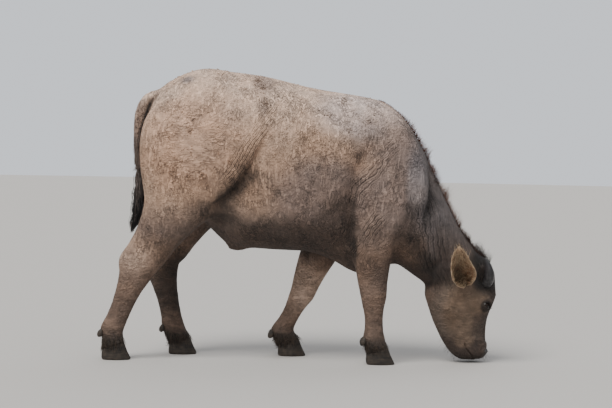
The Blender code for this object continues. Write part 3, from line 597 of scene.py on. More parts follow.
def work_muzzle(q, normals):
    """The nostril, the mouth and the lips on one side of a straight head."""
    distance, along, _ = near_path(q, NOSTRIL)
    muzzle = ramp(q[:, 2], 0.115, 0.095)
    wide = 0.0062 + 0.003 * (1 - along)
    hole = ramp(distance, wide * 1.25, wide * 0.55)
    rim = bell(distance - wide * 1.7, 0.0042)
    inward = np.array((-0.55, -0.8, 0.25))
    moved = q + inward * (0.017 * hole * muzzle)[:, None]
    moved = moved + normals * (0.003 * rim * muzzle * (1 - hole))[:, None]
    x, z = q[:, 0] - MOUTH_MIDDLE[0], q[:, 2] - MOUTH_MIDDLE[1]
    across = x * math.cos(MOUTH_LEAN) + z * math.sin(MOUTH_LEAN)
    down = -x * math.sin(MOUTH_LEAN) + z * math.cos(MOUTH_LEAN)
    across = across + 0.006 * np.sin(down * 55.0)
    mouth = ramp(q[:, 2], MOUTH_CORNER, MOUTH_CORNER - 0.01)
    lips = 0.003 * bell(across - 0.0085, 0.006) + 0.0022 * bell(across + 0.008, 0.0055)
    height = mouth * (0.8 * lips - 0.0052 * bell(across, 0.0021))
    height += -0.003 * bell(q[:, 1], 0.0022) * ramp(q[:, 2], 0.05, 0.03) * ramp(across, 0.002, 0.01)
    height += 0.004 * bell(across + 0.03, 0.016) * ramp(q[:, 2], 0.075, 0.045)
    corner = bell(q[:, 2] - MOUTH_CORNER - 0.008, 0.01) * bell(across, 0.02)
    height += -0.0015 * corner * np.abs(np.sin(q[:, 2] * 420))
    return moved + normals * height[:, None]


def work_face(q, normals):
    """The bone and folds of the face on one side of a straight head."""
    height = np.zeros(len(q))
    for path, width, rise in FACE_LINES:
        distance, along, _ = near_path(q, path)
        height += rise * bell(distance, width) * ramp(along, 0.0, 0.2) * ramp(along, 1.0, 0.8)
    return q + normals * height[:, None]


def work_head(skin):
    """Works the features of both sides into the head."""
    points, share = points_of(skin), head_share(points_of(skin))
    for work in (work_face, work_muzzle, work_eyes):
        q, turned = to_head(points), to_head(normals_of(skin) + (HEAD_AXIS, 0, 0)) - (HEAD_AXIS, 0, 0)
        side = np.where(q[:, 1] < 0, -1.0, 1.0)
        mirror = np.stack([np.ones(len(q)), side, np.ones(len(q))], axis=1)
        q, turned = q * mirror, turned * mirror
        moved = work(q) if work is work_eyes else work(q, turned)
        moved = from_head(moved * mirror)
        points = points + (moved - points) * share[:, None]
        place_points(skin, points)


# Tones: every place on the animal has one, and its hair takes the same


def linear(*colour):
    """A colour as it is seen, 0 to 255, turned to the light that it sends back."""
    share = np.array(colour) / 255.0
    return np.where(share < 0.04045, share / 12.92, ((share + 0.055) / 1.055) ** 2.4)


def blob(points, centre, radii, both=True):
    """One in the middle of an ellipsoid, on both sides of the body if both, nothing outside it."""
    away = points.copy()
    if both:
        away[:, 1] = np.abs(away[:, 1])
    away = (away - centre) / radii
    return ramp(np.linalg.norm(away, axis=1), 1.0, 0.45)


def edge_shade(points, name, beyond, before):
    """Painted shade along the lower part of an edge, fading on its two sides."""
    limb, path, low, _, _ = STEPS[name]
    distance, along, turn, _ = each_side(points, np.tile((0.0, 1.0, 0.0), (len(points), 1)), limb, path)
    signed = distance * turn * low
    shade = np.where(signed > 0, bell(signed, beyond), bell(signed, before))
    return shade * ramp(along, 0.15, 0.75) * ramp(np.abs(points[:, 1]), 0.03, 0.08)


def gap_shade(points):
    """Painted shade, near black, in the gap between the tail and the rump."""
    distance, along, _ = near_path(points[:, (0, 2)], TAIL_GAP)
    return bell(distance, 0.01) * ramp(np.abs(points[:, 1]), 0.115, 0.075) * ramp(along, 0.0, 0.15)


def near_side_line(points, limb, path, width):
    """One on a line of the side view, on both sides of the body, fading over the width."""
    distance, along, _, _ = each_side(points, np.tile((0.0, 1.0, 0.0), (len(points), 1)), limb, path)
    return bell(distance, width) * ramp(np.abs(points[:, 1]), 0.03, 0.08) * ramp(along, 1.0, 0.7)


def hide_tone(points, normals):
    """The colour of the hide and of the mud that has dried on it, with painted shade in its hollows,
    underneath and beside edges, and painted light in three places.
    """
    tone = {name: linear(*colour) for name, colour in TONES.items()}

    def spot(strength, centre, radii, both=True):
        return strength * blob(points, centre, radii, both)

    x, y, z = points.T
    belly = ramp(x, -0.3, -0.16) * ramp(x, 0.26, 0.18)
    tail = ramp(x, -0.625, -0.645) * bell(y, 0.045)
    facing_up = ramp(normals[:, 0] + normals[:, 2], 0.3, 0.9)
    shares = (
        ("mud", ramp(z, 0.46, 0.66) * ramp(x, 0.47, 0.33)),
        ("pale_mud", ramp(z, 0.8, 1.1) * ramp(x, 0.4, 0.2)),
        ("warm_mud", spot(0.55, (-0.42, 0.2, 0.86), (0.26, 0.22, 0.26))),
        ("grey_mud_and_highlight", spot(0.6, (0.22, 0.12, 0.98), (0.24, 0.22, 0.14))),
        ("damp_mud", spot(0.8, (0.1, 0.25, 0.66), (0.3, 0.3, 0.22))),
        ("damp_mud", spot(0.75, (0.37, 0.14, 0.7), (0.17, 0.18, 0.26))),
        ("damp_mud", spot(0.55, (0.3, 0.14, 0.88), (0.2, 0.18, 0.12))),
        # Dark damp hide on the lower belly, with painted shade under the belly
        ("dark_hide_and_shade", ramp(z, 0.6, 0.47) * ramp(z, 0.36, 0.42) * belly),
        ("leg", ramp(z, 0.6, 0.44) * (1 - blob(points, (-0.02, 0.0, 0.48), (0.3, 0.3, 0.12)))),
        ("slate", spot(0.6, (0.46, 0.14, 0.72), (0.07, 0.16, 0.2))),
        ("hide", ramp(x, 0.46, 0.53) * ramp(z, 0.3, 0.36)),
        ("dark_hide_and_shade", 0.8 * ramp(x, 0.48, 0.56) * ramp(z, 0.62, 0.46)),
        # Painted shade under the throat and along its lower edge
        ("pit", spot(0.8, (0.495, 0.0, 0.365), (0.14, 0.19, 0.12))),
        ("black_hide_and_shade", 0.75 * near_side_line(points, "none", THROAT_SHADE, 0.034)),
        # Painted shade on the faces that look down
        ("dark_hide_and_shade", 0.7 * ramp(-normals[:, 2], 0.3, 0.8) * ramp(z, 0.12, 0.25)),
        ("foot", ramp(z, 0.15, 0.075) * ramp(x, 0.5, 0.45)),
        # Painted light on the far foreleg, which stands in shade
        ("painted_leg_light", spot(0.85, (0.02, 0.12, 0.3), (0.13, 0.1, 0.16), both=False)),
        ("black_hide_and_shade", spot(0.85, (-0.52, 0.12, 0.3), (0.13, 0.1, 0.24), both=False)),
        ("dark_hide_and_shade", spot(0.55, (0.32, -0.12, 0.37), (0.1, 0.1, 0.1), both=False)),
        # A painted highlight on the point of the near hock
        ("painted_leg_light", spot(0.55, (-0.64, -0.12, 0.42), (0.12, 0.1, 0.11), both=False)),
        ("dark_hide_and_shade", spot(0.45, (0.32, -0.12, 0.17), (0.1, 0.1, 0.08), both=False)),
        ("dark_hide_and_shade", spot(0.4, (-0.7, -0.12, 0.2), (0.12, 0.1, 0.09), both=False)),
        # Painted shade in the pocket before the thigh: at the groin, along the thigh's edge and the pocket's
        # line, and spread onto the thigh and belly below
        ("black_hide_and_shade", spot(0.8, (-0.27, 0.0, 0.6), (0.15, 0.13, 0.17), both=False)),
        ("black_hide_and_shade", 0.6 * edge_shade(points, "thigh_edge", 0.03, 0.02)),
        ("black_hide_and_shade", 0.85 * near_side_line(points, "hind", POCKET, 0.044)),
        ("black_hide_and_shade", spot(0.7, (-0.3, 0.14, 0.58), (0.085, 0.16, 0.065))),
        ("dark_hide_and_shade", spot(0.5, (-0.405, 0.16, 0.605), (0.08, 0.14, 0.055))),
        # Painted shade behind the arm's edge and on the ribs behind the arm
        ("black_hide_and_shade", 0.8 * edge_shade(points, "arm_edge", 0.045, 0.008)),
        ("dark_hide_and_shade", spot(0.6, (0.14, 0.22, 0.56), (0.11, 0.2, 0.13))),
        # Painted shade in the groove between the shoulder and the neck, and beyond the shoulder blade's
        # front edge
        ("dark_hide_and_shade", spot(0.35, (0.43, 0.12, 0.6), (0.07, 0.12, 0.1))),
        ("black_hide_and_shade", 0.7 * edge_shade(points, "blade_edge", 0.05, 0.004)),
        ("damp_mud", spot(0.6, (-0.16, 0.08, 1.08), (0.06, 0.1, 0.1))),
        ("damp_mud", spot(0.5, (-0.15, 0.14, 0.99), (0.035, 0.1, 0.08))),
        ("slate", spot(0.8, (-0.447, 0.08, 1.1), (0.05, 0.07, 0.03))),
        ("slate", spot(0.6, (-0.508, 0.1, 0.997), (0.022, 0.06, 0.04))),
        # A painted highlight on the proud front edge of the shoulder blade
        ("grey_mud_and_highlight", spot(0.24, (0.455, 0.14, 0.7), (0.06, 0.18, 0.11))),
        # Painted shade in the groove between the tail and the rump
        ("black_hide_and_shade", 0.65 * tail_cleft(points)),
        ("damp_mud", 0.7 * ramp(x, -0.615, -0.635) * bell(y, 0.045) * ramp(z, 1.08, 0.98)),
        ("hide", 0.6 * tail * ramp(z, 0.9, 0.82) * ramp(z, 0.6, 0.7)),
        # Painted shade, near black, in the gap beside the tail
        ("pit", gap_shade(points)),
        ("black_hide_and_shade", 0.7 * bell(y, 0.02) * ramp(x, 0.36, 0.44) * facing_up),
    )
    made = np.tile(tone["hide"], (len(points), 1))
    for name, share in shares:
        made += (tone[name] - made) * share[:, None]
    share = head_share(points)
    made += (tone["jaw"] - made) * share[:, None]
    for name, part in head_tones(one_side_of_head(points)):
        made += (tone[name] - made) * (part * share)[:, None]
    return made


def head_tones(q):
    """The tones of the head one over another, and how strong each is; q is of one side of it."""
    x, _, z = q.T
    eye_gap = np.linalg.norm(q - EYE, axis=1)
    return (
        ("cheek", blob(q, (0.625, 0.085, 0.2), (0.115, 0.09, 0.19))),
        ("dark_hide_and_shade", 0.9 * ramp(x, 0.7, 0.745) * ramp(z, 0.09, 0.15)),
        ("black_hide_and_shade", ramp(z, 0.275, 0.335) * ramp(x, 0.63, 0.69)),
        ("black_hide_and_shade", 0.8 * ramp(z, 0.37, 0.42)),
        ("dark_hide_and_shade", ramp(z, 0.13, 0.08)),
        ("cheek", 0.8 * blob(q, (0.64, 0.06, 0.095), (0.055, 0.06, 0.045))),
        ("cheek", 0.8 * blob(q, (0.712, 0.08, 0.268), (0.026, 0.03, 0.012))),
        ("cheek", 0.7 * blob(q, (0.695, 0.08, 0.218), (0.018, 0.03, 0.024))),
        ("black_hide_and_shade", 0.95 * ramp(eye_gap, 0.03, 0.02)),
        ("dark_hide_and_shade", 0.8 * ramp(x, 0.652, 0.688) * ramp(z, 0.095, 0.13) * ramp(z, 0.218, 0.185)),
        ("pit", 0.75 * blob(q, (0.7, 0.08, 0.335), (0.06, 0.06, 0.058))),
        ("pit", 0.78 * ramp(z, 0.262, 0.32) * ramp(x, 0.655, 0.695)),
        ("black_hide_and_shade", 0.85 * blob(q, (0.752, 0.03, 0.04), (0.03, 0.05, 0.036))),
        ("black_hide_and_shade", 0.6 * ramp(z, 0.05, 0.02)),
    )


def store_colours(obj, name, colours):
    values = np.ones((len(colours), 4))
    values[:, : colours.shape[1]] = colours
    layer = obj.data.color_attributes.new(name=name, type="FLOAT_COLOR", domain="POINT")
    layer.data.foreach_set("color", values.ravel())


def store_numbers(obj, name, numbers):
    layer = obj.data.attributes.new(name=name, type="FLOAT", domain="POINT")
    layer.data.foreach_set("value", np.array(numbers, float))


def mark_skin(skin):
    """Gives the skin the fields that its finish reads."""
    points, normals = points_of(skin), normals_of(skin)
    store_colours(skin, "tone", hide_tone(points, normals))
    phase, strength, _ = fold_fields(points, normals)
    store_numbers(skin, "fold_phase", phase)
    store_numbers(skin, "fold_strength", strength)
    store_numbers(skin, "crack", crack_field(points))
    x, _, z = points.T
    head = head_share(points)
    slanting = blob(points, (0.3, 0.2, 0.7), (0.17, 0.25, 0.36))
    slanting += blob(points, (-0.22, 0.2, 0.78), (0.14, 0.25, 0.26))
    level = blob(points, (-0.42, 0.2, 0.86), (0.16, 0.25, 0.16)) + ramp(z, 0.42, 0.34) * (1 - head)
    level += 0.8 * head * ramp(z, 0.32, 0.26)
    lengthwise = ramp(x, 0.42, 0.5) * (1 - head)
    grain = np.clip(np.stack([slanting, level, lengthwise], axis=1), 0, 1)
    store_colours(skin, "grain", grain)
    q = to_head(points)
    store_numbers(skin, "wet", ramp(q[:, 2], 0.075, 0.05) * ramp(q[:, 0], 0.715, 0.735) * head)
    store_numbers(skin, "crumbs", ramp(z, 0.5, 0.85) * ramp(x, 0.4, 0.2) * (1 - head))
    neck = ramp(x, 0.44, 0.54) * (1 - head)
    rough = 1 - 0.45 * head - 0.5 * neck - 0.25 * ramp(z, 0.45, 0.3) * (1 - head)
    store_numbers(skin, "rough", rough)


# Hair: solid tufts


def spike(cuts):
    """The points and triangles of one closed three-sided spike along +Z, one long."""
    deselect()
    bpy.ops.mesh.primitive_cylinder_add(vertices=3, radius=1.0, depth=1.0, location=(0, 0, 0.5))
    made = bpy.context.active_object
    bpy.ops.object.transform_apply(location=True)
    mesh = made.data
    bpy.ops.object.mode_set(mode="EDIT")
    bpy.ops.mesh.select_mode(type="EDGE")
    bpy.ops.mesh.select_all(action="DESELECT")
    bpy.ops.object.mode_set(mode="OBJECT")
    for edge in mesh.edges:
        low, high = (mesh.vertices[index].co.z for index in edge.vertices)
        edge.select = abs(high - low) > 0.5
    bpy.ops.object.mode_set(mode="EDIT")
    bpy.ops.mesh.subdivide(number_cuts=cuts)
    bpy.ops.mesh.select_mode(type="VERT")
    bpy.ops.mesh.select_all(action="DESELECT")
    bpy.ops.object.mode_set(mode="OBJECT")
    for vertex in mesh.vertices:
        vertex.select = vertex.co.z > 0.999
    bpy.ops.object.mode_set(mode="EDIT")
    bpy.ops.mesh.merge(type="CENTER")
    bpy.ops.mesh.select_all(action="SELECT")
    bpy.ops.mesh.normals_make_consistent(inside=False)
    bpy.ops.mesh.quads_convert_to_tris()
    bpy.ops.object.mode_set(mode="OBJECT")
    shape = points_of(made)
    faces = np.array([tuple(face.vertices) for face in mesh.polygons])
    bpy.data.objects.remove(made)
    return shape, faces


def grow(name, template, roots, normals, aims, lengths, widths, bends, tones, places, finish,
         flat=0.45, tip=1.25):
    """One mesh of tufts: each a copy of the template, from its root along its aim, kept off the floor."""
    shape = template[0]
    aims = unit(aims)
    sides = unit(np.cross(aims, normals))
    ups = np.cross(sides, aims)
    along = shape[:, 2]
    profile = 1.0 - 0.72 * along**1.3
    reach = lengths[:, None, None]
    bent = bends[:, None] * (along**2)[None, :, None]
    spine = roots[:, None] + reach * (aims[:, None] * along[None, :, None] + bent)
    across = sides[:, None] * (shape[:, 0] * profile)[None, :, None]
    thick = ups[:, None] * (shape[:, 1] * profile * flat)[None, :, None]
    points = spine + (across + thick) * widths[:, None, None]
    drop = np.maximum(roots[:, 2] - points[:, :, 2].min(axis=1), 1e-6)
    above_floor = np.clip((roots[:, 2] - FLOOR_GAP) / drop, 0.1, 1.0)
    points = roots[:, None] + (points - roots[:, None]) * above_floor[:, None, None]
    return tuft_mesh(name, points, template, tones, places, finish, tip)


def tuft_mesh(name, points, template, tones, places, finish, tip):
    """One mesh of many copies of a template whose points are given, with their tones and unwrap."""
    shape, faces = template
    many, size = len(points), len(shape)
    along = shape[:, 2]
    mesh = bpy.data.meshes.new(name)
    mesh.vertices.add(many * size)
    mesh.vertices.foreach_set("co", points.ravel())
    corners = (faces.ravel()[None, :] + (np.arange(many) * size)[:, None]).ravel()
    mesh.loops.add(len(corners))
    mesh.loops.foreach_set("vertex_index", corners.astype(np.int32))
    mesh.polygons.add(len(corners) // 3)
    mesh.polygons.foreach_set("loop_start", np.arange(0, len(corners), 3, dtype=np.int32))
    mesh.update(calc_edges=True)
    mesh.validate()
    made = bpy.data.objects.new(name, mesh)
    bpy.context.scene.collection.objects.link(made)
    shade = 0.72 + (tip - 0.72) * along
    store_colours(made, "tone", (tones[:, None] * shade[None, :, None]).reshape(-1, 3))
    patch = np.stack([shape[:, 0], along * 2 - 1], axis=1) * PATCH
    spread = (np.clip(places, 2 * PATCH, 1 - 2 * PATCH)[:, None] + patch[None]).reshape(-1, 2)
    layer = mesh.uv_layers.new(name="OFBake")
    layer.data.foreach_set("uv", spread[corners].ravel())
    mesh.materials.append(finish)
    mesh.shade_smooth()
    return made


class Ground:
    """The skin as hair grows from it: its triangles with their unwrap and their tone."""

    def __init__(self, skin):
        mesh = skin.data
        pick(skin)
        bpy.ops.object.mode_set(mode="EDIT")
        bpy.ops.mesh.select_all(action="SELECT")
        bpy.ops.uv.smart_project(angle_limit=math.radians(66), island_margin=0.0)
        bpy.ops.object.mode_set(mode="OBJECT")
        mesh.calc_loop_triangles()
        count = len(mesh.loop_triangles)
        corners, loops = np.empty(count * 3, np.int32), np.empty(count * 3, np.int32)
        mesh.loop_triangles.foreach_get("vertices", corners)
        mesh.loop_triangles.foreach_get("loops", loops)
        corners, loops = corners.reshape(-1, 3), loops.reshape(-1, 3)
        spread = np.empty(len(mesh.loops) * 2)
        mesh.uv_layers.active.data.foreach_get("uv", spread)
        tones = np.empty(len(mesh.vertices) * 4)
        mesh.color_attributes["tone"].data.foreach_get("color", tones)
        self.points = points_of(skin)[corners]
        self.normals = normals_of(skin)[corners]
        self.tones = tones.reshape(-1, 4)[:, :3][corners]
        self.places = spread.reshape(-1, 2)[loops]
        self.middles = self.points.mean(axis=1)
        edges = np.cross(self.points[:, 1] - self.points[:, 0], self.points[:, 2] - self.points[:, 0])
        self.areas = np.linalg.norm(edges, axis=1) / 2
        while mesh.uv_layers:
            mesh.uv_layers.remove(mesh.uv_layers[0])

    def roots(self, many, weight):
        """Random roots, as thick as the weight says: places, normals, tones and unwrapped places."""
        chance = self.areas * weight
        chosen = rng.choice(len(chance), many, p=chance / chance.sum())
        share = rng.dirichlet((1, 1, 1), many)[:, :, None]
        parts = (self.points, self.normals, self.tones, self.places)
        mixed = [(part[chosen] * share).sum(axis=1) for part in parts]
        mixed[1] = unit(mixed[1])
        return mixed


def jitter(many, size):
    return rng.normal(0.0, size, (many, 3))


def lie_along(normals, way, lean):
    """Aims that follow a way over the surface and lift off it by lean."""
    way = way - normals * np.sum(way * normals, axis=1, keepdims=True)
    return unit(unit(way) + normals * lean)


def hair_way(points):
    """The way the hair lies: back and down the body, down the legs, down the face."""
    x, _, z = points.T
    leg = ramp(z, 0.52, 0.42)[:, None]
    head = head_share(points)[:, None]
    neck = (ramp(x, 0.42, 0.52)[:, None]) * (1 - head)
    way = np.tile((-1.0, 0.0, -0.45), (len(points), 1))
    way = way * (1 - leg) + leg * np.array((-0.1, 0.0, -1.0))
    way = way * (1 - neck) + neck * np.array((-0.55, 0.0, 0.2))
    way = way * (1 - head) + head * np.array((0.1, 0.0, -1.0))
    return way


def build_coat(ground, finish):
    """The sparse short hair that lies on the hide."""
    x, _, z = ground.middles.T
    bare = 1 - 0.9 * ramp(z, 0.11, 0.07) * ramp(x, 0.5, 0.4)
    weight = bare * (0.6 + 0.8 * ramp(z, 0.6, 0.4) + 0.7 * ramp(x, 0.45, 0.55))
    weight = weight * (np.linalg.norm(one_side_of_head(ground.middles) - EYE, axis=1) > 0.024)
    many = TUFTS["coat"]
    roots, normals, tones, places = ground.roots(many, weight)
    face = head_share(roots)
    lengths = rng.uniform(0.01, 0.02, many) * (1 - 0.45 * face)
    aims = lie_along(normals, hair_way(roots) + jitter(many, 0.16), 0.16)
    bends = -normals * 0.1 + jitter(many, 0.03)
    widths = rng.uniform(0.00028, 0.0005, many)
    tones = tones * rng.uniform(0.55, 1.15, (many, 1))
    roots = roots - normals * 0.6 * ROOT_DEPTH
    return grow("coat", spike(1), roots, normals, aims, lengths, widths, bends, tones, places, finish)


def build_crest(ground, finish):
    """The upright hair along the nape, from the withers to the poll, in uneven clumps."""
    distance = near_path(ground.middles[:, (0, 2)], CREST_LINE)[0]
    top = ramp(ground.normals.mean(axis=1) @ (1, 0, 1), 0.2, 0.8)
    weight = ramp(distance, 0.05, 0.02) * bell(ground.middles[:, 1], 0.016) * top
    many = TUFTS["nape_hair"]
    roots, normals, tones, places = ground.roots(many, weight)
    along = near_path(roots[:, (0, 2)], CREST_LINE)[1]
    clump = np.stack([haze(roots, 0.026, seed) for seed in (21, 22, 23)], axis=1)
    lengths = rng.uniform(0.012, 0.044, many) * (0.6 + 0.5 * along) * (1 + 0.3 * clump[:, 0])
    lengths = lengths * (0.25 + 0.75 * ramp(along, 0.0, 0.25)) * (0.4 + 0.6 * ramp(along, 1.0, 0.72))
    back = np.array((-0.15, 0.0, 0.55))
    aims = unit(normals * 1.0 + back + clump * (0.22, 0.3, 0.22) + jitter(many, 0.26))
    bends = np.array((-0.2, 0.0, 0.1)) + jitter(many, 0.12)
    widths = rng.uniform(0.00045, 0.0008, many)
    brown, dark = linear(136, 86, 66), linear(50, 36, 32)
    darkened = np.maximum(rng.random((many, 1)), 0.85 * ramp(along, 0.7, 0.95)[:, None])
    tones = brown + (dark - brown) * darkened
    roots = roots - normals * ROOT_DEPTH
    return grow("nape_hair", spike(3), roots, normals, aims, lengths, widths, bends, tones, places, finish)


def build_poll(ground, finish):
    """The longer dark bristles between and behind the horns."""
    q = one_side_of_head(ground.middles)
    weight = blob(q, (0.705, 0.0, 0.385), (0.075, 0.065, 0.085))
    weight = weight + 6.0 * blob(q, (0.702, 0.072, 0.35), (0.036, 0.03, 0.04))
    weight = weight * head_share(ground.middles)
    many = TUFTS["poll_hair"]
    roots, normals, tones, places = ground.roots(many, weight)
    clump = np.stack([haze(roots, 0.022, seed) for seed in (31, 32, 33)], axis=1)
    beside = blob(one_side_of_head(roots), (0.712, 0.035, 0.415), (0.045, 0.045, 0.045))
    lengths = rng.uniform(0.012, 0.036, many) * (1 + 0.4 * clump[:, 0])
    lengths = np.where(rng.random(many) < 0.3 * beside, rng.uniform(0.04, 0.062, many), lengths)
    aims = unit(normals * 0.3 + np.array((-0.08, 0.0, 1.0)) + clump * 0.26 + jitter(many, 0.16))
    bends = np.array((-0.06, 0.0, -0.04)) + jitter(many, 0.1)
    widths = rng.uniform(0.00045, 0.00085, many)
    brown, dark = linear(96, 84, 78), linear(26, 23, 23)
    tones = dark + (brown - dark) * rng.random((many, 1)) ** 2.5
    roots = roots - normals * ROOT_DEPTH
    return grow("poll_hair", spike(3), roots, normals, aims, lengths, widths, bends, tones, places, finish)


def lump():
    """The points and triangles of one rough round lump along +Z, one long."""
    deselect()
    bpy.ops.mesh.primitive_ico_sphere_add(subdivisions=2, radius=1.0)
    made = bpy.context.active_object
    shape = points_of(made)
    shape = shape * (1 + 0.22 * haze(shape, 1.3, 51))[:, None]
    shape[:, 2] = (shape[:, 2] + 1.25) / 2.5
    faces = np.array([tuple(face.vertices) for face in made.data.polygons])
    bpy.data.objects.remove(made)
    return shape, faces


def build_crumbs(ground, finish):
    """Crumbs of dried mud that stick to the back, the rump and the flanks, and some larger clods."""
    x, _, z = ground.middles.T
    patchy = ramp(haze(ground.middles, 0.16, 52), 0.0, 0.9)
    weight = (0.15 + patchy) * ramp(z, 0.5, 0.8) * ramp(x, 0.4, 0.25) * ramp(x, -0.62, -0.58)
    for place in CLODS:
        weight = weight + 7.0 * bell(np.hypot(x - place[0], z - place[1]), 0.014)
    weight = weight + 2.2 * blob(ground.middles, (-0.165, 0.1, 1.07), (0.035, 0.14, 0.12))
    many = TUFTS["mud_crumbs"]
    roots, normals, tones, places = ground.roots(many, weight)
    size = rng.uniform(0.0012, 0.003, many) * (1 + rng.random(many) ** 8)
    for place in CLODS:
        size = size * (1 + 1.5 * bell(np.hypot(roots[:, 0] - place[0], roots[:, 2] - place[1]), 0.01))
    aims = unit(normals + jitter(many, 0.35))
    tones = tones * rng.uniform(0.45, 1.0, (many, 1))
    deep = roots - normals * (size * 0.55)[:, None]
    turned = unit(np.cross(normals, jitter(many, 1.0)))
    bends = jitter(many, 0.1)
    return grow("mud_crumbs", lump(), deep, turned, aims, size * 2.0, size, bends, tones, places, finish,
                flat=0.8, tip=1.05)


def build_coronet_hair(ground, finish):
    """The hair that hangs over the claws from the lower edge of each leg."""
    x, _, z = ground.middles.T
    weight = bell(z - 0.066, 0.018) * ramp(x, 0.46, 0.42)
    many = TUFTS["coronet_hair"]
    roots, normals, tones, places = ground.roots(many, weight)
    lengths = rng.uniform(0.016, 0.05, many)
    aims = lie_along(normals, np.array((0.1, 0.0, -1.0)) + jitter(many, 0.22), 0.4)
    bends = -normals * 0.14 + jitter(many, 0.08)
    widths = rng.uniform(0.00045, 0.001, many)
    brown, dark = linear(88, 74, 62), linear(36, 30, 27)
    tones = dark + (brown - dark) * rng.random((many, 1)) ** 1.6
    roots, tuft = roots - normals * ROOT_DEPTH, spike(2)
    return grow("coronet_hair", tuft, roots, normals, aims, lengths, widths, bends, tones, places, finish)


def build_whiskers(ground, finish):
    """Stiff hairs on the lips and the chin."""
    q = to_head(ground.middles)
    weight = ramp(q[:, 2], 0.11, 0.06) * ramp(q[:, 0], 0.755, 0.735) * head_share(ground.middles)
    many = TUFTS["whiskers"]
    roots, normals, tones, places = ground.roots(many, weight)
    lengths = rng.uniform(0.01, 0.034, many)
    aims = unit(normals + np.array((0.0, 0.0, -0.5)) + jitter(many, 0.2))
    widths = rng.uniform(0.00022, 0.00036, many)
    tones = linear(60, 50, 44) * rng.uniform(0.4, 1.6, (many, 1))
    bends = np.array((0.0, 0.0, -0.2)) + jitter(many, 0.05)
    roots = roots - normals * ROOT_DEPTH
    return grow("whiskers", spike(3), roots, normals, aims, lengths, widths, bends, tones, places, finish)


def build_tail_hair(ground, finish):
    """The dark hair that hangs along the lower part of the tail."""
    x, y, z = ground.middles.T
    weight = ramp(x, -0.625, -0.645) * (np.abs(y) < 0.05) * ramp(z, 0.92, 0.82)
    many = TUFTS["tail_hair"]
    roots, normals, tones, places = ground.roots(many, weight)
    lengths = rng.uniform(0.02, 0.05, many)
    aims = lie_along(normals, np.array((0.0, 0.0, -1.0)) + jitter(many, 0.1), 0.12)
    bends = -normals * 0.08 + jitter(many, 0.06)
    widths = rng.uniform(0.0006, 0.0011, many)
    dark, grey = linear(66, 58, 55), linear(156, 138, 128)
    tones = dark + (grey - dark) * rng.random((many, 1))
    roots = roots - normals * ROOT_DEPTH
    return grow("tail_hair", spike(3), roots, normals, aims, lengths, widths, bends, tones, places, finish)


def build_switch(finish):
    """The tail's switch: long black locks that hang round its end and follow its bend."""
    many = TUFTS["tail_locks"]
    start = 0.2 + rng.random(many) ** 0.9 * 0.44
    reach = np.minimum(rng.uniform(0.2, 0.46, many), 1.0 - start - rng.uniform(0.0, 0.03, many))
    turn = rng.random(many) * 2 * math.pi
    out = np.stack([np.cos(turn), np.sin(turn), np.zeros(many)], axis=1)
    line = np.array([(x, 0.0, z) for x, z in SWITCH_LINE])
    lock = haze(np.stack([turn, start * 3, turn], axis=1), 1.1, 41)
    shape, faces = spike(9)
    along = shape[:, 2]
    share = start[:, None] + reach[:, None] * along[None, :]
    middle, _ = curve_at(line, share.ravel())
    wide = smooth_steps(share.ravel(), SWITCH_RADII).reshape(share.shape)
    settle = rng.uniform(0.25, 1.0, many)[:, None]
    stray = np.where(rng.random(many) < 0.06, 1.6, 1.0)[:, None]
    wave = 0.0022 * np.sin(share * 34.0 + turn[:, None] * 2 + lock[:, None] * 2)
    spine = middle.reshape(many, -1, 3) + out[:, None] * (wide * settle * stray)[:, :, None]
    spine[:, :, 0] += wave
    widths = rng.uniform(0.0009, 0.0018, many)[:, None, None]
    profile = (1.0 - 0.8 * along**1.6)[None, :, None] * widths
    sides = np.stack([-np.sin(turn), np.cos(turn), np.zeros(many)], axis=1)
    across = sides[:, None] * shape[:, 0][None, :, None]
    points = spine + (across + out[:, None] * (0.6 * shape[:, 1])[None, :, None]) * profile
    grey = ramp(start, 0.45, 0.2)[:, None]
    tones = linear(26, 24, 26) * (1 - grey) + linear(92, 82, 78) * grey
    tones = tones * rng.uniform(0.45, 2.2, (many, 1)) * (1 + 0.4 * lock[:, None])
    tones = np.where(rng.random((many, 1)) < 0.07, linear(140, 128, 122), tones)
    places = np.stack([turn / (2 * math.pi), start], axis=1)
    return tuft_mesh("tail_locks", points, (shape, faces), tones, places, finish, 1.0)


# Ears, horns, eyes and claws


def side_word(side):
    return "left" if side > 0 else "right"


def finished(obj, finish):
    """Shades a piece smooth and gives it its finish."""
    pick(obj)
    bpy.ops.object.shade_smooth()
    obj.data.materials.append(finish)
    return obj


def turn_inside_out(obj):
    pick(obj)
    bpy.ops.object.mode_set(mode="EDIT")
    bpy.ops.mesh.select_all(action="SELECT")
    bpy.ops.mesh.flip_normals()
    bpy.ops.object.mode_set(mode="OBJECT")


def sort_faces(obj):
    """Puts a piece's faces in one order, as Blender's own sphere has them in another each time."""
    points, faces = points_of(obj), sorted(tuple(face.vertices) for face in obj.data.polygons)
    obj.data = bpy.data.meshes.new(obj.name)
    obj.data.from_pydata(points, [], faces)


def smooth_steps(t, values):
    """Values at even steps joined by smooth changes."""
    steps = np.clip(t, 0, 1) * (len(values) - 1)
    low = np.minimum(steps.astype(int), len(values) - 2)
    share = steps - low
    share = share * share * (3 - 2 * share)
    values = np.array(values, float)
    return values[low] + (values[low + 1] - values[low]) * share


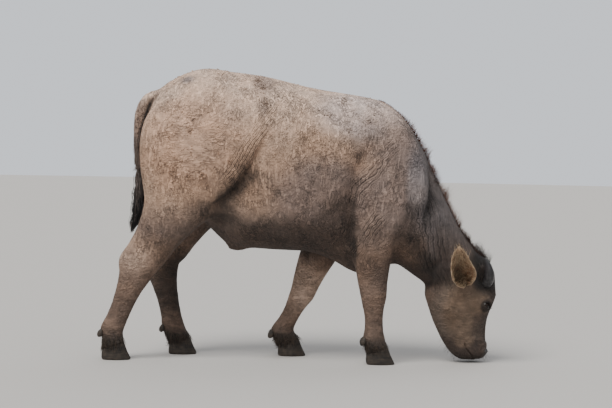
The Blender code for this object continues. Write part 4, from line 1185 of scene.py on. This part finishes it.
def curve_at(path, t):
    """Places and directions on a smooth curve through the path's points."""
    path = np.array(path, float)
    padded = np.vstack([2 * path[0] - path[1], path, 2 * path[-1] - path[-2]])
    steps = np.clip(t, -0.2, 1.2) * (len(path) - 1)
    low = np.clip(steps.astype(int), 0, len(path) - 2)
    s = (steps - low)[:, None]
    a, b, c, d = (padded[low + k] for k in range(4))
    square, cube = 2 * a - 5 * b + 4 * c - d, 3 * b - a - 3 * c + d
    place = 0.5 * (2 * b + (c - a) * s + square * s**2 + cube * s**3)
    way = 0.5 * ((c - a) + 2 * square * s + 3 * cube * s**2)
    return place, unit(way)


def turn_way(ways):
    """Directions on a straight head, turned with the head."""
    return from_head(ways + (HEAD_AXIS, 0, 0)) - (HEAD_AXIS, 0, 0)


def grow_on_head(name, side, roots, ways, lengths, widths, tones, places, finish):
    """Tufts given on the left side of a straight head, grown on this side of the turned head."""
    mirror = np.array((1.0, side, 1.0))
    normals, aims, bends = (turn_way(way * mirror) for way in ways)
    roots = from_head(roots * mirror)
    name = name + "_" + side_word(side)
    return grow(name, spike(3), roots, normals, aims, lengths, widths, bends, tones, places, finish)


def ear_points(across, t, lift=0.0):
    """Places on the ear's cup: across from -1 to 1 between its edges, t from its root to its tip."""
    place, way = curve_at(EAR_PATH, t)
    out = np.array(EAR_OPEN) - way * (way @ np.array(EAR_OPEN))[:, None]
    out = unit(out)
    aside = np.cross(way, out)
    wrap = np.radians(smooth_steps(t, EAR_WRAP))
    radius = smooth_steps(t, EAR_RADIUS) * (1 + 0.03 * np.sin(t * 17.0) * np.abs(across))
    angle = across * wrap
    middle = place + out * (radius * (0.55 + 0.3 * ramp(t, 0.2, 0.5)))[:, None]
    outward = aside * np.sin(angle)[:, None] - out * np.cos(angle)[:, None]
    flare = 1 + 0.06 * np.abs(across) ** 6
    return middle + outward * (radius * flare - lift)[:, None], -outward, way, aside


def canal_gap(across, t):
    """How far a place on the ear's cup is from the mouth of its canal."""
    return np.hypot(across * 0.9 - 0.34, (t - 0.4) * 2.3)


def ear_tones(across, t):
    """The tones of the ear's inside: pale at the rim, darker within, and dark with painted shade in the
    canal.
    """
    inner = ramp(np.abs(across), 0.92, 0.55) * ramp(t, 0.99, 0.86)
    canal = 0.85 * ramp(canal_gap(across, t), 0.72, 0.15)
    rim = linear(192, 166, 138)
    tone = rim + (linear(150, 120, 96) - rim) * inner[:, None]
    return tone + (linear(34, 25, 20) - tone) * canal[:, None]


def build_ear(side, finish):
    """One ear: a leaf of hide rolled into a cup at its root."""
    deselect()
    bpy.ops.mesh.primitive_grid_add(x_subdivisions=26, y_subdivisions=38, size=2)
    ear = bpy.context.active_object
    ear.name = "ear_leaf_" + side_word(side)
    flat = points_of(ear)
    across, t = flat[:, 0], flat[:, 1] / 2 + 0.5
    place_points(ear, from_head(ear_points(across, t)[0] * (1, side, 1)))
    if side > 0:
        turn_inside_out(ear)
    modify(ear, "SOLIDIFY", thickness=EAR_THICKNESS, offset=0.0)
    many, layers = len(flat), points_of(ear)
    middle = from_head(curve_at(EAR_PATH, t)[0] * (1, side, 1))
    gaps = (np.linalg.norm(part - middle, axis=1) for part in (layers[:many], layers[many:]))
    first_gap, second_gap = gaps
    first_outside = (first_gap > second_gap)[:, None]
    inside, outside = ear_tones(across, t), linear(122, 103, 88)
    first = np.where(first_outside, outside, inside)
    second = np.where(first_outside, inside, outside)
    store_colours(ear, "tone", np.vstack([first, second]))
    modify(ear, "SUBSURF", levels=1, render_levels=1)
    return finished(ear, finish)


def build_ear_hair(side, finish):
    """Pale hair across the ear's cup, a short fringe on its edges and short hair on its back."""
    many = TUFTS["ear_hair"]
    edge = rng.random(many) < 0.28
    back = (rng.random(many) < 0.5) & ~edge
    fringe = rng.uniform(0.12, 0.99, many)
    t = np.where(edge, fringe, rng.uniform(0.1, np.where(back, 0.98, 0.85), many))
    rim = rng.choice((-1.0, 1.0), many) * rng.uniform(0.86, 1.0, many)
    across = np.where(edge, rim, rng.uniform(-0.85, 0.85, many))
    roots, inward, way, aside = ear_points(across, t, np.where(back, -0.0012, 0.0012))
    inward = inward * np.where(back, -0.35, 1.0)[:, None]
    aims = way * 0.9 + inward * rng.uniform(0.2, 0.8, (many, 1))
    aims = unit(aims - aside * (np.sign(across) * 0.25)[:, None] + jitter(many, 0.22))
    short = rng.uniform(0.007, 0.018, many)
    lengths = np.where(edge, short, rng.uniform(0.02, 0.054, many)) * (0.35 + 0.65 * ramp(t, 1.0, 0.7))
    lengths = np.where(back, rng.uniform(0.009, 0.02, many), lengths)
    bends = -inward * 0.22 + jitter(many, 0.16)
    pale, dark = linear(244, 214, 176), linear(90, 69, 54)
    tones = dark + (pale - dark) * rng.random((many, 1)) ** 1.5
    # Painted shade darkens the hair in the cup near the canal; the hair on the back is darker as well
    deep = ramp(canal_gap(across, t), 0.8, 0.3)
    tones = tones * np.where(back, 0.6, 1 - 0.5 * deep * (~edge))[:, None]
    widths = rng.uniform(0.0004, 0.00095, many)
    places = np.stack([across * 0.49 + 0.5, np.clip(t, 0, 1)], axis=1)
    ways = (inward, aims, bends)
    return grow_on_head("ear_hair", side, roots, ways, lengths, widths, tones, places, finish)


def refined(name, node, voxel, rounds):
    """A copy of a node's solid with an even, finer surface and softened edges."""
    made = node_copy(node)
    modify(made, "REMESH", mode="VOXEL", voxel_size=voxel)
    made = keep_largest(made)
    made.name = name
    modify(made, "SMOOTH", factor=0.5, iterations=rounds)
    return made


def build_horn(side, finish):
    """One horn, with the uneven rings of its growth at its root."""
    word = side_word(side)
    horn = refined("horn_" + word + "_grown", "horn_" + word, HORN_VOXEL, 4)
    points, normals = points_of(horn), normals_of(horn)
    q = to_head(points)
    q[:, 1] *= side
    along = near_path(q, HORN_PATH)[1]
    rings = np.sin(along * 60 + 1.5 * np.sin(along * 23)) * ramp(along, 0.8, 0.2) * 0.0008
    ridges = np.sin(np.arctan2(q[:, 2] - 0.36, q[:, 0] - 0.715) * 9 + along * 6) * 0.00035
    place_points(horn, points + normals * (rings + ridges)[:, None])
    turned = normals_of(horn)
    # A painted highlight: pale grey where the horn faces forwards, fading at its root and its tip
    facing = turned[:, 0] * 0.8 - turned[:, 1] * 0.6 * side
    painted_highlight = ramp(facing, 0.45, 0.95) * ramp(along, 0.02, 0.2) * ramp(along, 1.0, 0.7)
    store_numbers(horn, "painted_highlight", painted_highlight)
    return finished(horn, finish)


def eye_points(a, u, w):
    """Places given along the eye's opening, across it and out of the head."""
    along, up, out = eye_frame()
    return np.array(EYE) + a[:, None] * along + u[:, None] * up + w[:, None] * out


def set_on_eye(obj, points, side):
    """Puts a piece round one eye, its faces outward; its points are of a straight head's left side."""
    place_points(obj, from_head(points * (1, side, 1)))
    along, up, out = eye_frame()
    if np.dot(np.cross(along, up), out) * side < 0:
        turn_inside_out(obj)


def build_eye(side, finish):
    """One eyeball, with fields for its iris and its lying pupil."""
    deselect()
    bpy.ops.mesh.primitive_uv_sphere_add(segments=48, ring_count=32, radius=1.0)
    eye = bpy.context.active_object
    eye.name = "eye_" + side_word(side) + "_ball"
    sort_faces(eye)
    flat = points_of(eye)
    angle = np.arccos(np.clip(flat[:, 2], -1, 1))
    bulge = 1 + 0.055 * bell(angle, 0.42)
    along, up, out = eye_frame()
    ball = flat[:, :1] * along + flat[:, 1:2] * up + flat[:, 2:] * bulge[:, None] * out
    set_on_eye(eye, np.array(EYE) + EYE_RADIUS * ball, side)
    store_numbers(eye, "iris", angle)
    behind = 10 * (flat[:, 2] < 0)
    store_numbers(eye, "pupil", np.hypot(flat[:, 0], flat[:, 1] / 0.52) + behind)
    return finished(eye, finish)


def build_lid_rim(side, finish):
    """The dark wet edge of the lids round one eye's opening."""
    deselect()
    bpy.ops.mesh.primitive_torus_add(major_segments=72, minor_segments=10, minor_radius=0.1)
    rim = bpy.context.active_object
    rim.name = "lid_rim_" + side_word(side)
    flat = points_of(rim)
    turn = np.arctan2(flat[:, 1], flat[:, 0])
    ring = np.stack([np.cos(turn), np.sin(turn), np.zeros(len(flat))], axis=1)
    tube = (flat - ring) / 0.1
    radial = LID_EDGE * (tube[:, 0] * np.cos(turn) + tube[:, 1] * np.sin(turn))
    a = np.cos(turn) * OPENING[0] * 1.02
    top, bottom = opening_edge(a)
    u = np.where(np.sin(turn) >= 0, top, bottom) + radial * np.sin(turn)
    a = a + radial * np.cos(turn)
    lid = EYE_RADIUS + 0.0016
    w = np.sqrt(np.clip(lid**2 - a**2 - u**2, 0, None)) + LID_EDGE * tube[:, 2] * 0.9
    set_on_eye(rim, eye_points(a, u, w), side)
    return finished(rim, finish)


def build_lashes(side, finish):
    """The lashes of one eye's upper lid."""
    many = TUFTS["lashes"]
    along, up, out = eye_frame()
    a = rng.uniform(-0.8, 0.95, many) * OPENING[0]
    u = opening_edge(a)[0] + rng.uniform(0.0004, 0.002, many)
    w = np.sqrt(np.clip((EYE_RADIUS + 0.0024) ** 2 - a**2 - u**2, 0, None))
    share = a / OPENING[0]
    aims = out * 0.9 - up * 0.25 + along * (share * 0.5)[:, None] + jitter(many, 0.1)
    ways = (np.tile(out, (many, 1)), aims, up * 0.25 + jitter(many, 0.05))
    tones = np.tile(linear(16, 13, 12), (many, 1))
    places = np.stack([share * 0.49 + 0.5, np.full(many, 0.5)], axis=1)
    lengths = rng.uniform(0.009, 0.015, many)
    widths = rng.uniform(0.00025, 0.00038, many)
    return grow_on_head("lashes", side, eye_points(a, u, w), ways, lengths, widths, tones, places, finish)


def build_claw(node, finish):
    """One claw or dewclaw, its edges worn round and ringed by its growth."""
    small = node.startswith("dewclaw")
    claw = refined(node + "_worn", node, *(DEWCLAW_WEAR if small else CLAW_WEAR))
    points, normals = points_of(claw), normals_of(claw)
    z = points[:, 2]
    rings = np.sin(z * 900 + 2.0 * np.sin(points[:, 0] * 60)) * 0.00035 * ramp(z, 0.004, 0.012)
    points = points + normals * rings[:, None]
    if not small:
        points[:, 2] = np.maximum(points[:, 2], np.min(points_of(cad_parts[node])[:, 2]))
    place_points(claw, points)
    return finished(claw, finish)


# Finishes


def join(value, slot):
    """Gives a node's input a field, a socket or a constant."""
    if isinstance(value, Field):
        value = value.socket
    if isinstance(value, bpy.types.NodeSocket):
        slot.id_data.links.new(value, slot)
    else:
        slot.default_value = value


class Field:
    """A number that differs from place to place in a material; sums and products of it add nodes."""

    def __init__(self, socket):
        self.socket = socket

    def worked(self, operation, *others, turned=False):
        """This field and others put through one node of maths, in turned order if turned."""
        node = self.socket.id_data.nodes.new("ShaderNodeMath")
        node.operation = operation
        values = (self, *others)
        for value, slot in zip(values[::-1] if turned else values, node.inputs):
            join(value, slot)
        return Field(node.outputs[0])

    def kept(self):
        """The same field, kept between nothing and one."""
        self.socket.node.use_clamp = True
        return self

    def __add__(self, other):
        return self.worked("ADD", other)

    def __mul__(self, other):
        return self.worked("MULTIPLY", other)

    def __sub__(self, other):
        return self.worked("SUBTRACT", other)

    def __rsub__(self, other):
        return self.worked("SUBTRACT", other, turned=True)

    def __abs__(self):
        return self.worked("ABSOLUTE")

    __radd__ = __add__
    __rmul__ = __mul__


class Finish:
    """A new material with its shader, and the helps that add nodes to it."""

    def __init__(self, name, roughness):
        self.material = bpy.data.materials.new(name)
        self.material.use_nodes = True
        self.tree = self.material.node_tree
        self.shader = self.tree.nodes["Principled BSDF"]
        self.place = self.node("ShaderNodeTexCoord").outputs["Object"]
        self.give("Roughness", roughness)

    def node(self, kind, inputs=(), **settings):
        made = self.tree.nodes.new(kind)
        for name, value in settings.items():
            setattr(made, name, value)
        for slot, value in dict(inputs).items():
            join(value, made.inputs[slot])
        return made

    def give(self, name, value):
        """Gives one of the shader's inputs a field, a colour or a constant."""
        join(value, self.shader.inputs[name])

    def field(self, name):
        """A number that the mesh carries."""
        return Field(self.node("ShaderNodeAttribute", attribute_name=name).outputs["Fac"])

    def colour(self, name="tone"):
        """A colour that the mesh carries."""
        return self.node("ShaderNodeAttribute", attribute_name=name).outputs["Color"]

    def noise(self, scale, detail=3, stretch=(1, 1, 1), lean=0, on=None):
        """A noise on the object's coordinates or on others, stretched, and leant in the side view."""
        turn = (0, math.radians(lean), 0)
        inputs = {"Vector": self.place if on is None else on, "Scale": stretch, "Rotation": turn}
        place = self.node("ShaderNodeMapping", inputs).outputs[0]
        inputs = {"Vector": place, "Scale": scale, "Detail": detail, "Roughness": 0.55}
        return Field(self.node("ShaderNodeTexNoise", inputs).outputs[0])

    def cells(self, scale, feature, on):
        """Cells as in dried mud: how far each place is from their middles or from their edges."""
        inputs = {"Vector": on, "Scale": scale}
        return Field(self.node("ShaderNodeTexVoronoi", inputs, feature=feature).outputs[0])

    def scaled(self, colour, factor):
        """A colour or a way made larger or smaller by a factor."""
        return self.node("ShaderNodeVectorMath", {0: colour, 3: factor}, operation="SCALE").outputs[0]

    def stirred(self, scale, size):
        """The object's coordinates pushed about, so that a pattern on them loses its regular edges."""
        inputs = {"Vector": self.place, "Scale": scale, "Detail": 2.0}
        push = self.scaled(self.node("ShaderNodeTexNoise", inputs).outputs["Color"], size)
        return self.node("ShaderNodeVectorMath", {0: self.place, 1: push}, operation="ADD").outputs[0]

    def blended(self, share, first, second):
        """One number where share is nothing and a second where it is one."""
        return Field(self.node("ShaderNodeMix", {0: share, 2: first, 3: second}).outputs[0])

    def mixed(self, share, first, second):
        """One colour where share is nothing and a second where it is one."""
        return self.node("ShaderNodeMix", {0: share, 6: first, 7: second}, data_type="RGBA").outputs[2]

    def ramped(self, share, *steps):
        """The colour that goes with each value, through steps of a value and a colour."""
        made = self.node("ShaderNodeValToRGB", {0: share})
        elements = made.color_ramp.elements
        elements[0].position = steps[0][0]
        elements[1].position = steps[-1][0]
        for position, _ in steps[1:-1]:
            elements.new(position)
        for element, (_, colour) in zip(elements, steps):
            element.color = (*linear(*colour), 1)
        return made.outputs[0]

    def bump(self, height, strength, distance):
        """Lets light fall on the finish as if its surface had this height."""
        inputs = {"Height": height, "Strength": strength, "Distance": distance}
        self.give("Normal", self.node("ShaderNodeBump", inputs).outputs[0])


def window(value, low, gain):
    """Nothing where the value is below low, and one where it is well above."""
    return ((value - low) * gain).kept()


def faded(value, gain):
    """One where the value is nothing, and nothing where it is large; sharper with a larger gain."""
    return 1.0 - (value * gain).kept()


def grained_wrinkles(hide, stirred):
    """Creases that run as the grain of the hide does: upright, slanting, level or lengthwise."""
    shares = hide.node("ShaderNodeSeparateColor", {0: hide.colour("grain")}).outputs
    wrinkles = hide.noise(78, 3, (1.0, 1.0, 0.3), on=stirred)
    slanting = hide.noise(78, 3, (1.0, 0.6, 0.26), -32, stirred)
    level = hide.noise(78, 3, (0.26, 0.5, 1.0), on=stirred)
    lengthwise = hide.noise(105, 2, (1.0, 0.6, 0.1), 13)
    for share, others in zip(shares, (slanting, level, lengthwise)):
        wrinkles = hide.blended(share, wrinkles, others)
    return wrinkles


def hide_finish():
    """Hide with dried mud on it: creased along its grain, pebbled, cracked and crumbled."""
    hide = Finish("hide_finish", 0.86)
    stirred = hide.stirred(26.0, 0.012)
    blotches, mottle, pores = hide.noise(6.5, 4), hide.noise(36, 5), hide.noise(420, 3)
    wrinkles = grained_wrinkles(hide, stirred)
    rough = hide.field("rough")
    creased = 0.22 + 0.78 * window(hide.noise(15, 3), 0.44, 6.0)
    creases = faded(abs(wrinkles - 0.5), 15.0) * creased * rough
    pebbled = 0.3 + 0.7 * window(hide.noise(11, 3), 0.45, 7.0)
    beads = faded(hide.cells(118.0, "SMOOTH_F1", hide.stirred(60.0, 0.014)), 1.5) * pebbled
    flakes = faded(hide.cells(64.0, "DISTANCE_TO_EDGE", stirred), 10.0) * window(blotches, 0.5, 6.0)
    phase = hide.field("fold_phase") + mottle * (rough.worked("POWER", 2.0) * 0.9)
    strength = hide.field("fold_strength")
    wave = abs((phase * math.pi).worked("SINE"))
    finer = abs((phase * (2 * math.pi)).worked("SINE"))
    valley = (0.75 * faded(wave, 2.4) + 0.4 * faded(finer, 2.0)) * strength
    crack = faded(abs(hide.field("crack") + 0.01 * (mottle - 0.5)), 420.0)
    crumbs = window(hide.noise(150, 2), 0.57, 12.0) * hide.field("crumbs") * window(blotches, 0.42, 5.0)

    light = 1.06 + 0.45 * (blotches - 0.5) + 1.05 * (mottle - 0.5) + 1.25 * (wrinkles - 0.5)
    light = light + 0.3 * (pores - 0.5) - 0.5 * creases + 0.45 * beads - 0.15 * pebbled
    light = light - 0.22 * flakes - 0.45 * valley - 0.75 * crack - 0.3 * crumbs
    colour = hide.scaled(hide.colour(), light.worked("MAXIMUM", 0.25))
    cool, warm = (
        hide.node("ShaderNodeVectorMath", {0: colour, 1: tint}, operation="MULTIPLY").outputs[0]
        for tint in ((0.97, 1.0, 1.05), (1.02, 0.995, 0.985))
    )
    hide.give("Base Color", hide.mixed(window(hide.noise(8.0, 4), 0.36, 3.6), cool, warm))
    hide.give("Roughness", hide.blended(hide.field("wet"), 0.74 + 0.22 * mottle, 0.2 + 0.3 * mottle))
    height = 0.7 * wrinkles + 0.75 * mottle - 0.42 * creases + 0.62 * beads + 0.12 * pores
    height = height + (0.55 * wave + 0.25 * finer) * strength - 0.16 * flakes - 0.28 * valley
    height = height - 0.6 * crack + 0.45 * crumbs
    hide.bump(height * rough, 1.0, 0.0078)
    return hide.material


def hair_finish():
    """Coarse dull hair that takes the tone of its place."""
    hair = Finish("hair_finish", 0.62)
    hair.give("Base Color", hair.colour())
    return hair.material


def crumb_finish():
    """Crumbs of dry mud that take the tone of their place."""
    crumb = Finish("crumb_finish", 0.9)
    grain = crumb.noise(600, 3)
    crumb.give("Base Color", crumb.scaled(crumb.colour(), 0.6 + 0.8 * grain))
    crumb.bump(grain, 0.6, 0.001)
    return crumb.material


def ear_finish():
    """Thin hide: dark with painted shade in the canal and golden-brown towards the edge, as its tones say.
    """
    ear = Finish("ear_finish", 0.72)
    grain, patches = ear.noise(130, 4, (1.0, 1.0, 0.3)), ear.noise(38, 3)
    ear.give("Base Color", ear.scaled(ear.colour(), 0.55 + 0.6 * grain + 0.5 * patches))
    ear.give("Subsurface Weight", 0.08)
    ear.bump(grain + patches, 0.8, 0.003)
    return ear.material


def horn_finish():
    """Streaked dark keratin with a soft shine, and a painted pale grey highlight on its front."""
    horn = Finish("horn_finish", 0.5)
    streaks = horn.noise(160, 4, (1.0, 1.0, 0.2))
    share = 0.6 * streaks + 0.5 * horn.noise(45, 3)
    dark = horn.ramped(share, (0.35, (14, 13, 15)), (0.82, (70, 68, 70)))
    # The painted highlight, broken by the streaks
    painted_highlight = (horn.field("painted_highlight") * (1.3 * streaks)).kept()
    horn.give("Base Color", horn.mixed(painted_highlight, dark, (*linear(168, 170, 174), 1)))
    horn.give("Roughness", 0.22 + 0.26 * streaks)
    horn.give("Specular IOR Level", 0.45)
    horn.bump(share, 0.35, 0.0015)
    return horn.material


def claw_finish():
    """Worn dark keratin with dried mud in its rings."""
    claw = Finish("claw_finish", 0.7)
    share = 0.5 * claw.noise(60, 3, (0.25, 0.25, 3.0)) + 0.6 * claw.noise(55, 5)
    claw.give("Base Color", claw.ramped(share, (0.4, (27, 24, 22)), (0.76, (72, 62, 53))))
    claw.bump(share, 0.6, 0.002)
    return claw.material


def eye_finish():
    """A wet dark eye: brown-black iris, black lying pupil, brown white."""
    eye = Finish("eye_finish", 0.06)
    iris = ((0.3, (40, 27, 20)), (0.6, (34, 23, 18)), (0.68, (12, 10, 9)))
    white = ((0.76, (34, 27, 24)), (0.86, (52, 42, 37)))
    ball = eye.ramped(eye.field("iris"), *iris, *white)
    pupil = ((0.34 - eye.field("pupil")) * 30.0).kept()
    eye.give("Base Color", eye.mixed(pupil, ball, (0.002, 0.002, 0.002, 1)))
    eye.give("Specular IOR Level", 0.25)
    eye.give("Coat Weight", 0.1)
    eye.give("Coat Roughness", 0.05)
    return eye.material


def rim_finish():
    """The moist, nearly black skin on the edges of the lids."""
    rim = Finish("lid_finish", 0.34)
    grain = rim.noise(500, 3)
    rim.give("Base Color", rim.ramped(grain, (0.0, (16, 13, 12)), (1.0, (44, 36, 33))))
    rim.bump(grain, 0.3, 0.001)
    return rim.material


# Stage


def build_stage():
    """A plain pale floor, soft studio light and the camera."""
    deselect()
    bpy.ops.mesh.primitive_circle_add(vertices=96, radius=FLOOR_RADIUS, fill_type="NGON")
    floor = bpy.context.active_object
    floor.name = "floor"
    finish = Finish("floor_finish", 0.9)
    finish.give("Base Color", FLOOR_COLOUR)
    floor.data.materials.append(finish.material)
    for name, (away, spread, power, colour) in LAMPS.items():
        lamp = bpy.data.lights.new(name, "SUN")
        lamp.energy = power
        lamp.angle = math.radians(spread)
        lamp.color = colour
        holder = bpy.data.objects.new(name, lamp)
        bpy.context.scene.collection.objects.link(holder)
        holder.matrix_world = (-Vector(away)).to_track_quat("-Z", "Y").to_matrix().to_4x4()
    world = bpy.data.worlds.new("studio")
    bpy.context.scene.world = world
    world.use_nodes = True
    tree = world.node_tree
    light = tree.nodes["Background"]
    seen = tree.nodes.new("ShaderNodeBackground")
    for node, (colour, strength) in ((light, STUDIO_LIGHT), (seen, BACKDROP)):
        node.inputs[0].default_value = colour
        node.inputs[1].default_value = strength
    path = tree.nodes.new("ShaderNodeLightPath")
    mixed = tree.nodes.new("ShaderNodeMixShader")
    tree.links.new(path.outputs["Is Camera Ray"], mixed.inputs[0])
    tree.links.new(light.outputs[0], mixed.inputs[1])
    tree.links.new(seen.outputs[0], mixed.inputs[2])
    tree.links.new(mixed.outputs[0], tree.nodes["World Output"].inputs[0])
    view = bpy.data.objects.new("camera", bpy.data.cameras.new("camera"))
    bpy.context.scene.collection.objects.link(view)
    view.data.lens = CAMERA_LENS
    view.data.clip_end = 200.0
    ahead = Vector((0, math.cos(CAMERA_TILT), -math.sin(CAMERA_TILT)))
    turn = ahead.to_track_quat("-Z", "Y").to_matrix().to_4x4()
    view.matrix_world = Matrix.Translation(CAMERA_PLACE) @ Matrix.Rotation(-CAMERA_ROLL, 4, ahead) @ turn
    bpy.context.scene.camera = view


# The model


def dress(piece, slot, *nodes):
    """Fixes a piece to the animal and hides the nodes that it stands for; its slot is not used."""
    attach(piece, "root")
    if nodes:
        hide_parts(*nodes)


skin = build_skin()
work_body(skin)
work_head(skin)
mark_skin(skin)
dress(finished(skin, hide_finish()), "hide", *FLESH)
hair = hair_finish()
ground = Ground(skin)
dress(build_coat(ground, hair), "hide")
dress(build_crest(ground, hair), "hide")
dress(build_poll(ground, hair), "face_hide")
dress(build_coronet_hair(ground, hair), "hide")
dress(build_whiskers(ground, hair), "face_hide")
dress(build_crumbs(ground, crumb_finish()), "hide")
dress(build_tail_hair(ground, hair), "tail_hair")
dress(build_switch(hair), "tail_hair", "tail_switch")
ear_skin, keratin, claw_skin = ear_finish(), horn_finish(), claw_finish()
wet_eye, lid_skin = eye_finish(), rim_finish()
for side, word in ((-1, "right"), (1, "left")):
    dress(build_ear(side, ear_skin), "ear_hide", "ear_" + word)
    dress(build_ear_hair(side, hair), "ear_hide")
    dress(build_horn(side, keratin), "horn", "horn_" + word)
    dress(build_eye(side, wet_eye), "eye", "eye_" + word)
    dress(build_lid_rim(side, lid_skin), "face_hide")
    dress(build_lashes(side, hair), "face_hide")
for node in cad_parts:
    if "claw_" in node:
        dress(build_claw(node, claw_skin), "claw", node)
build_stage()
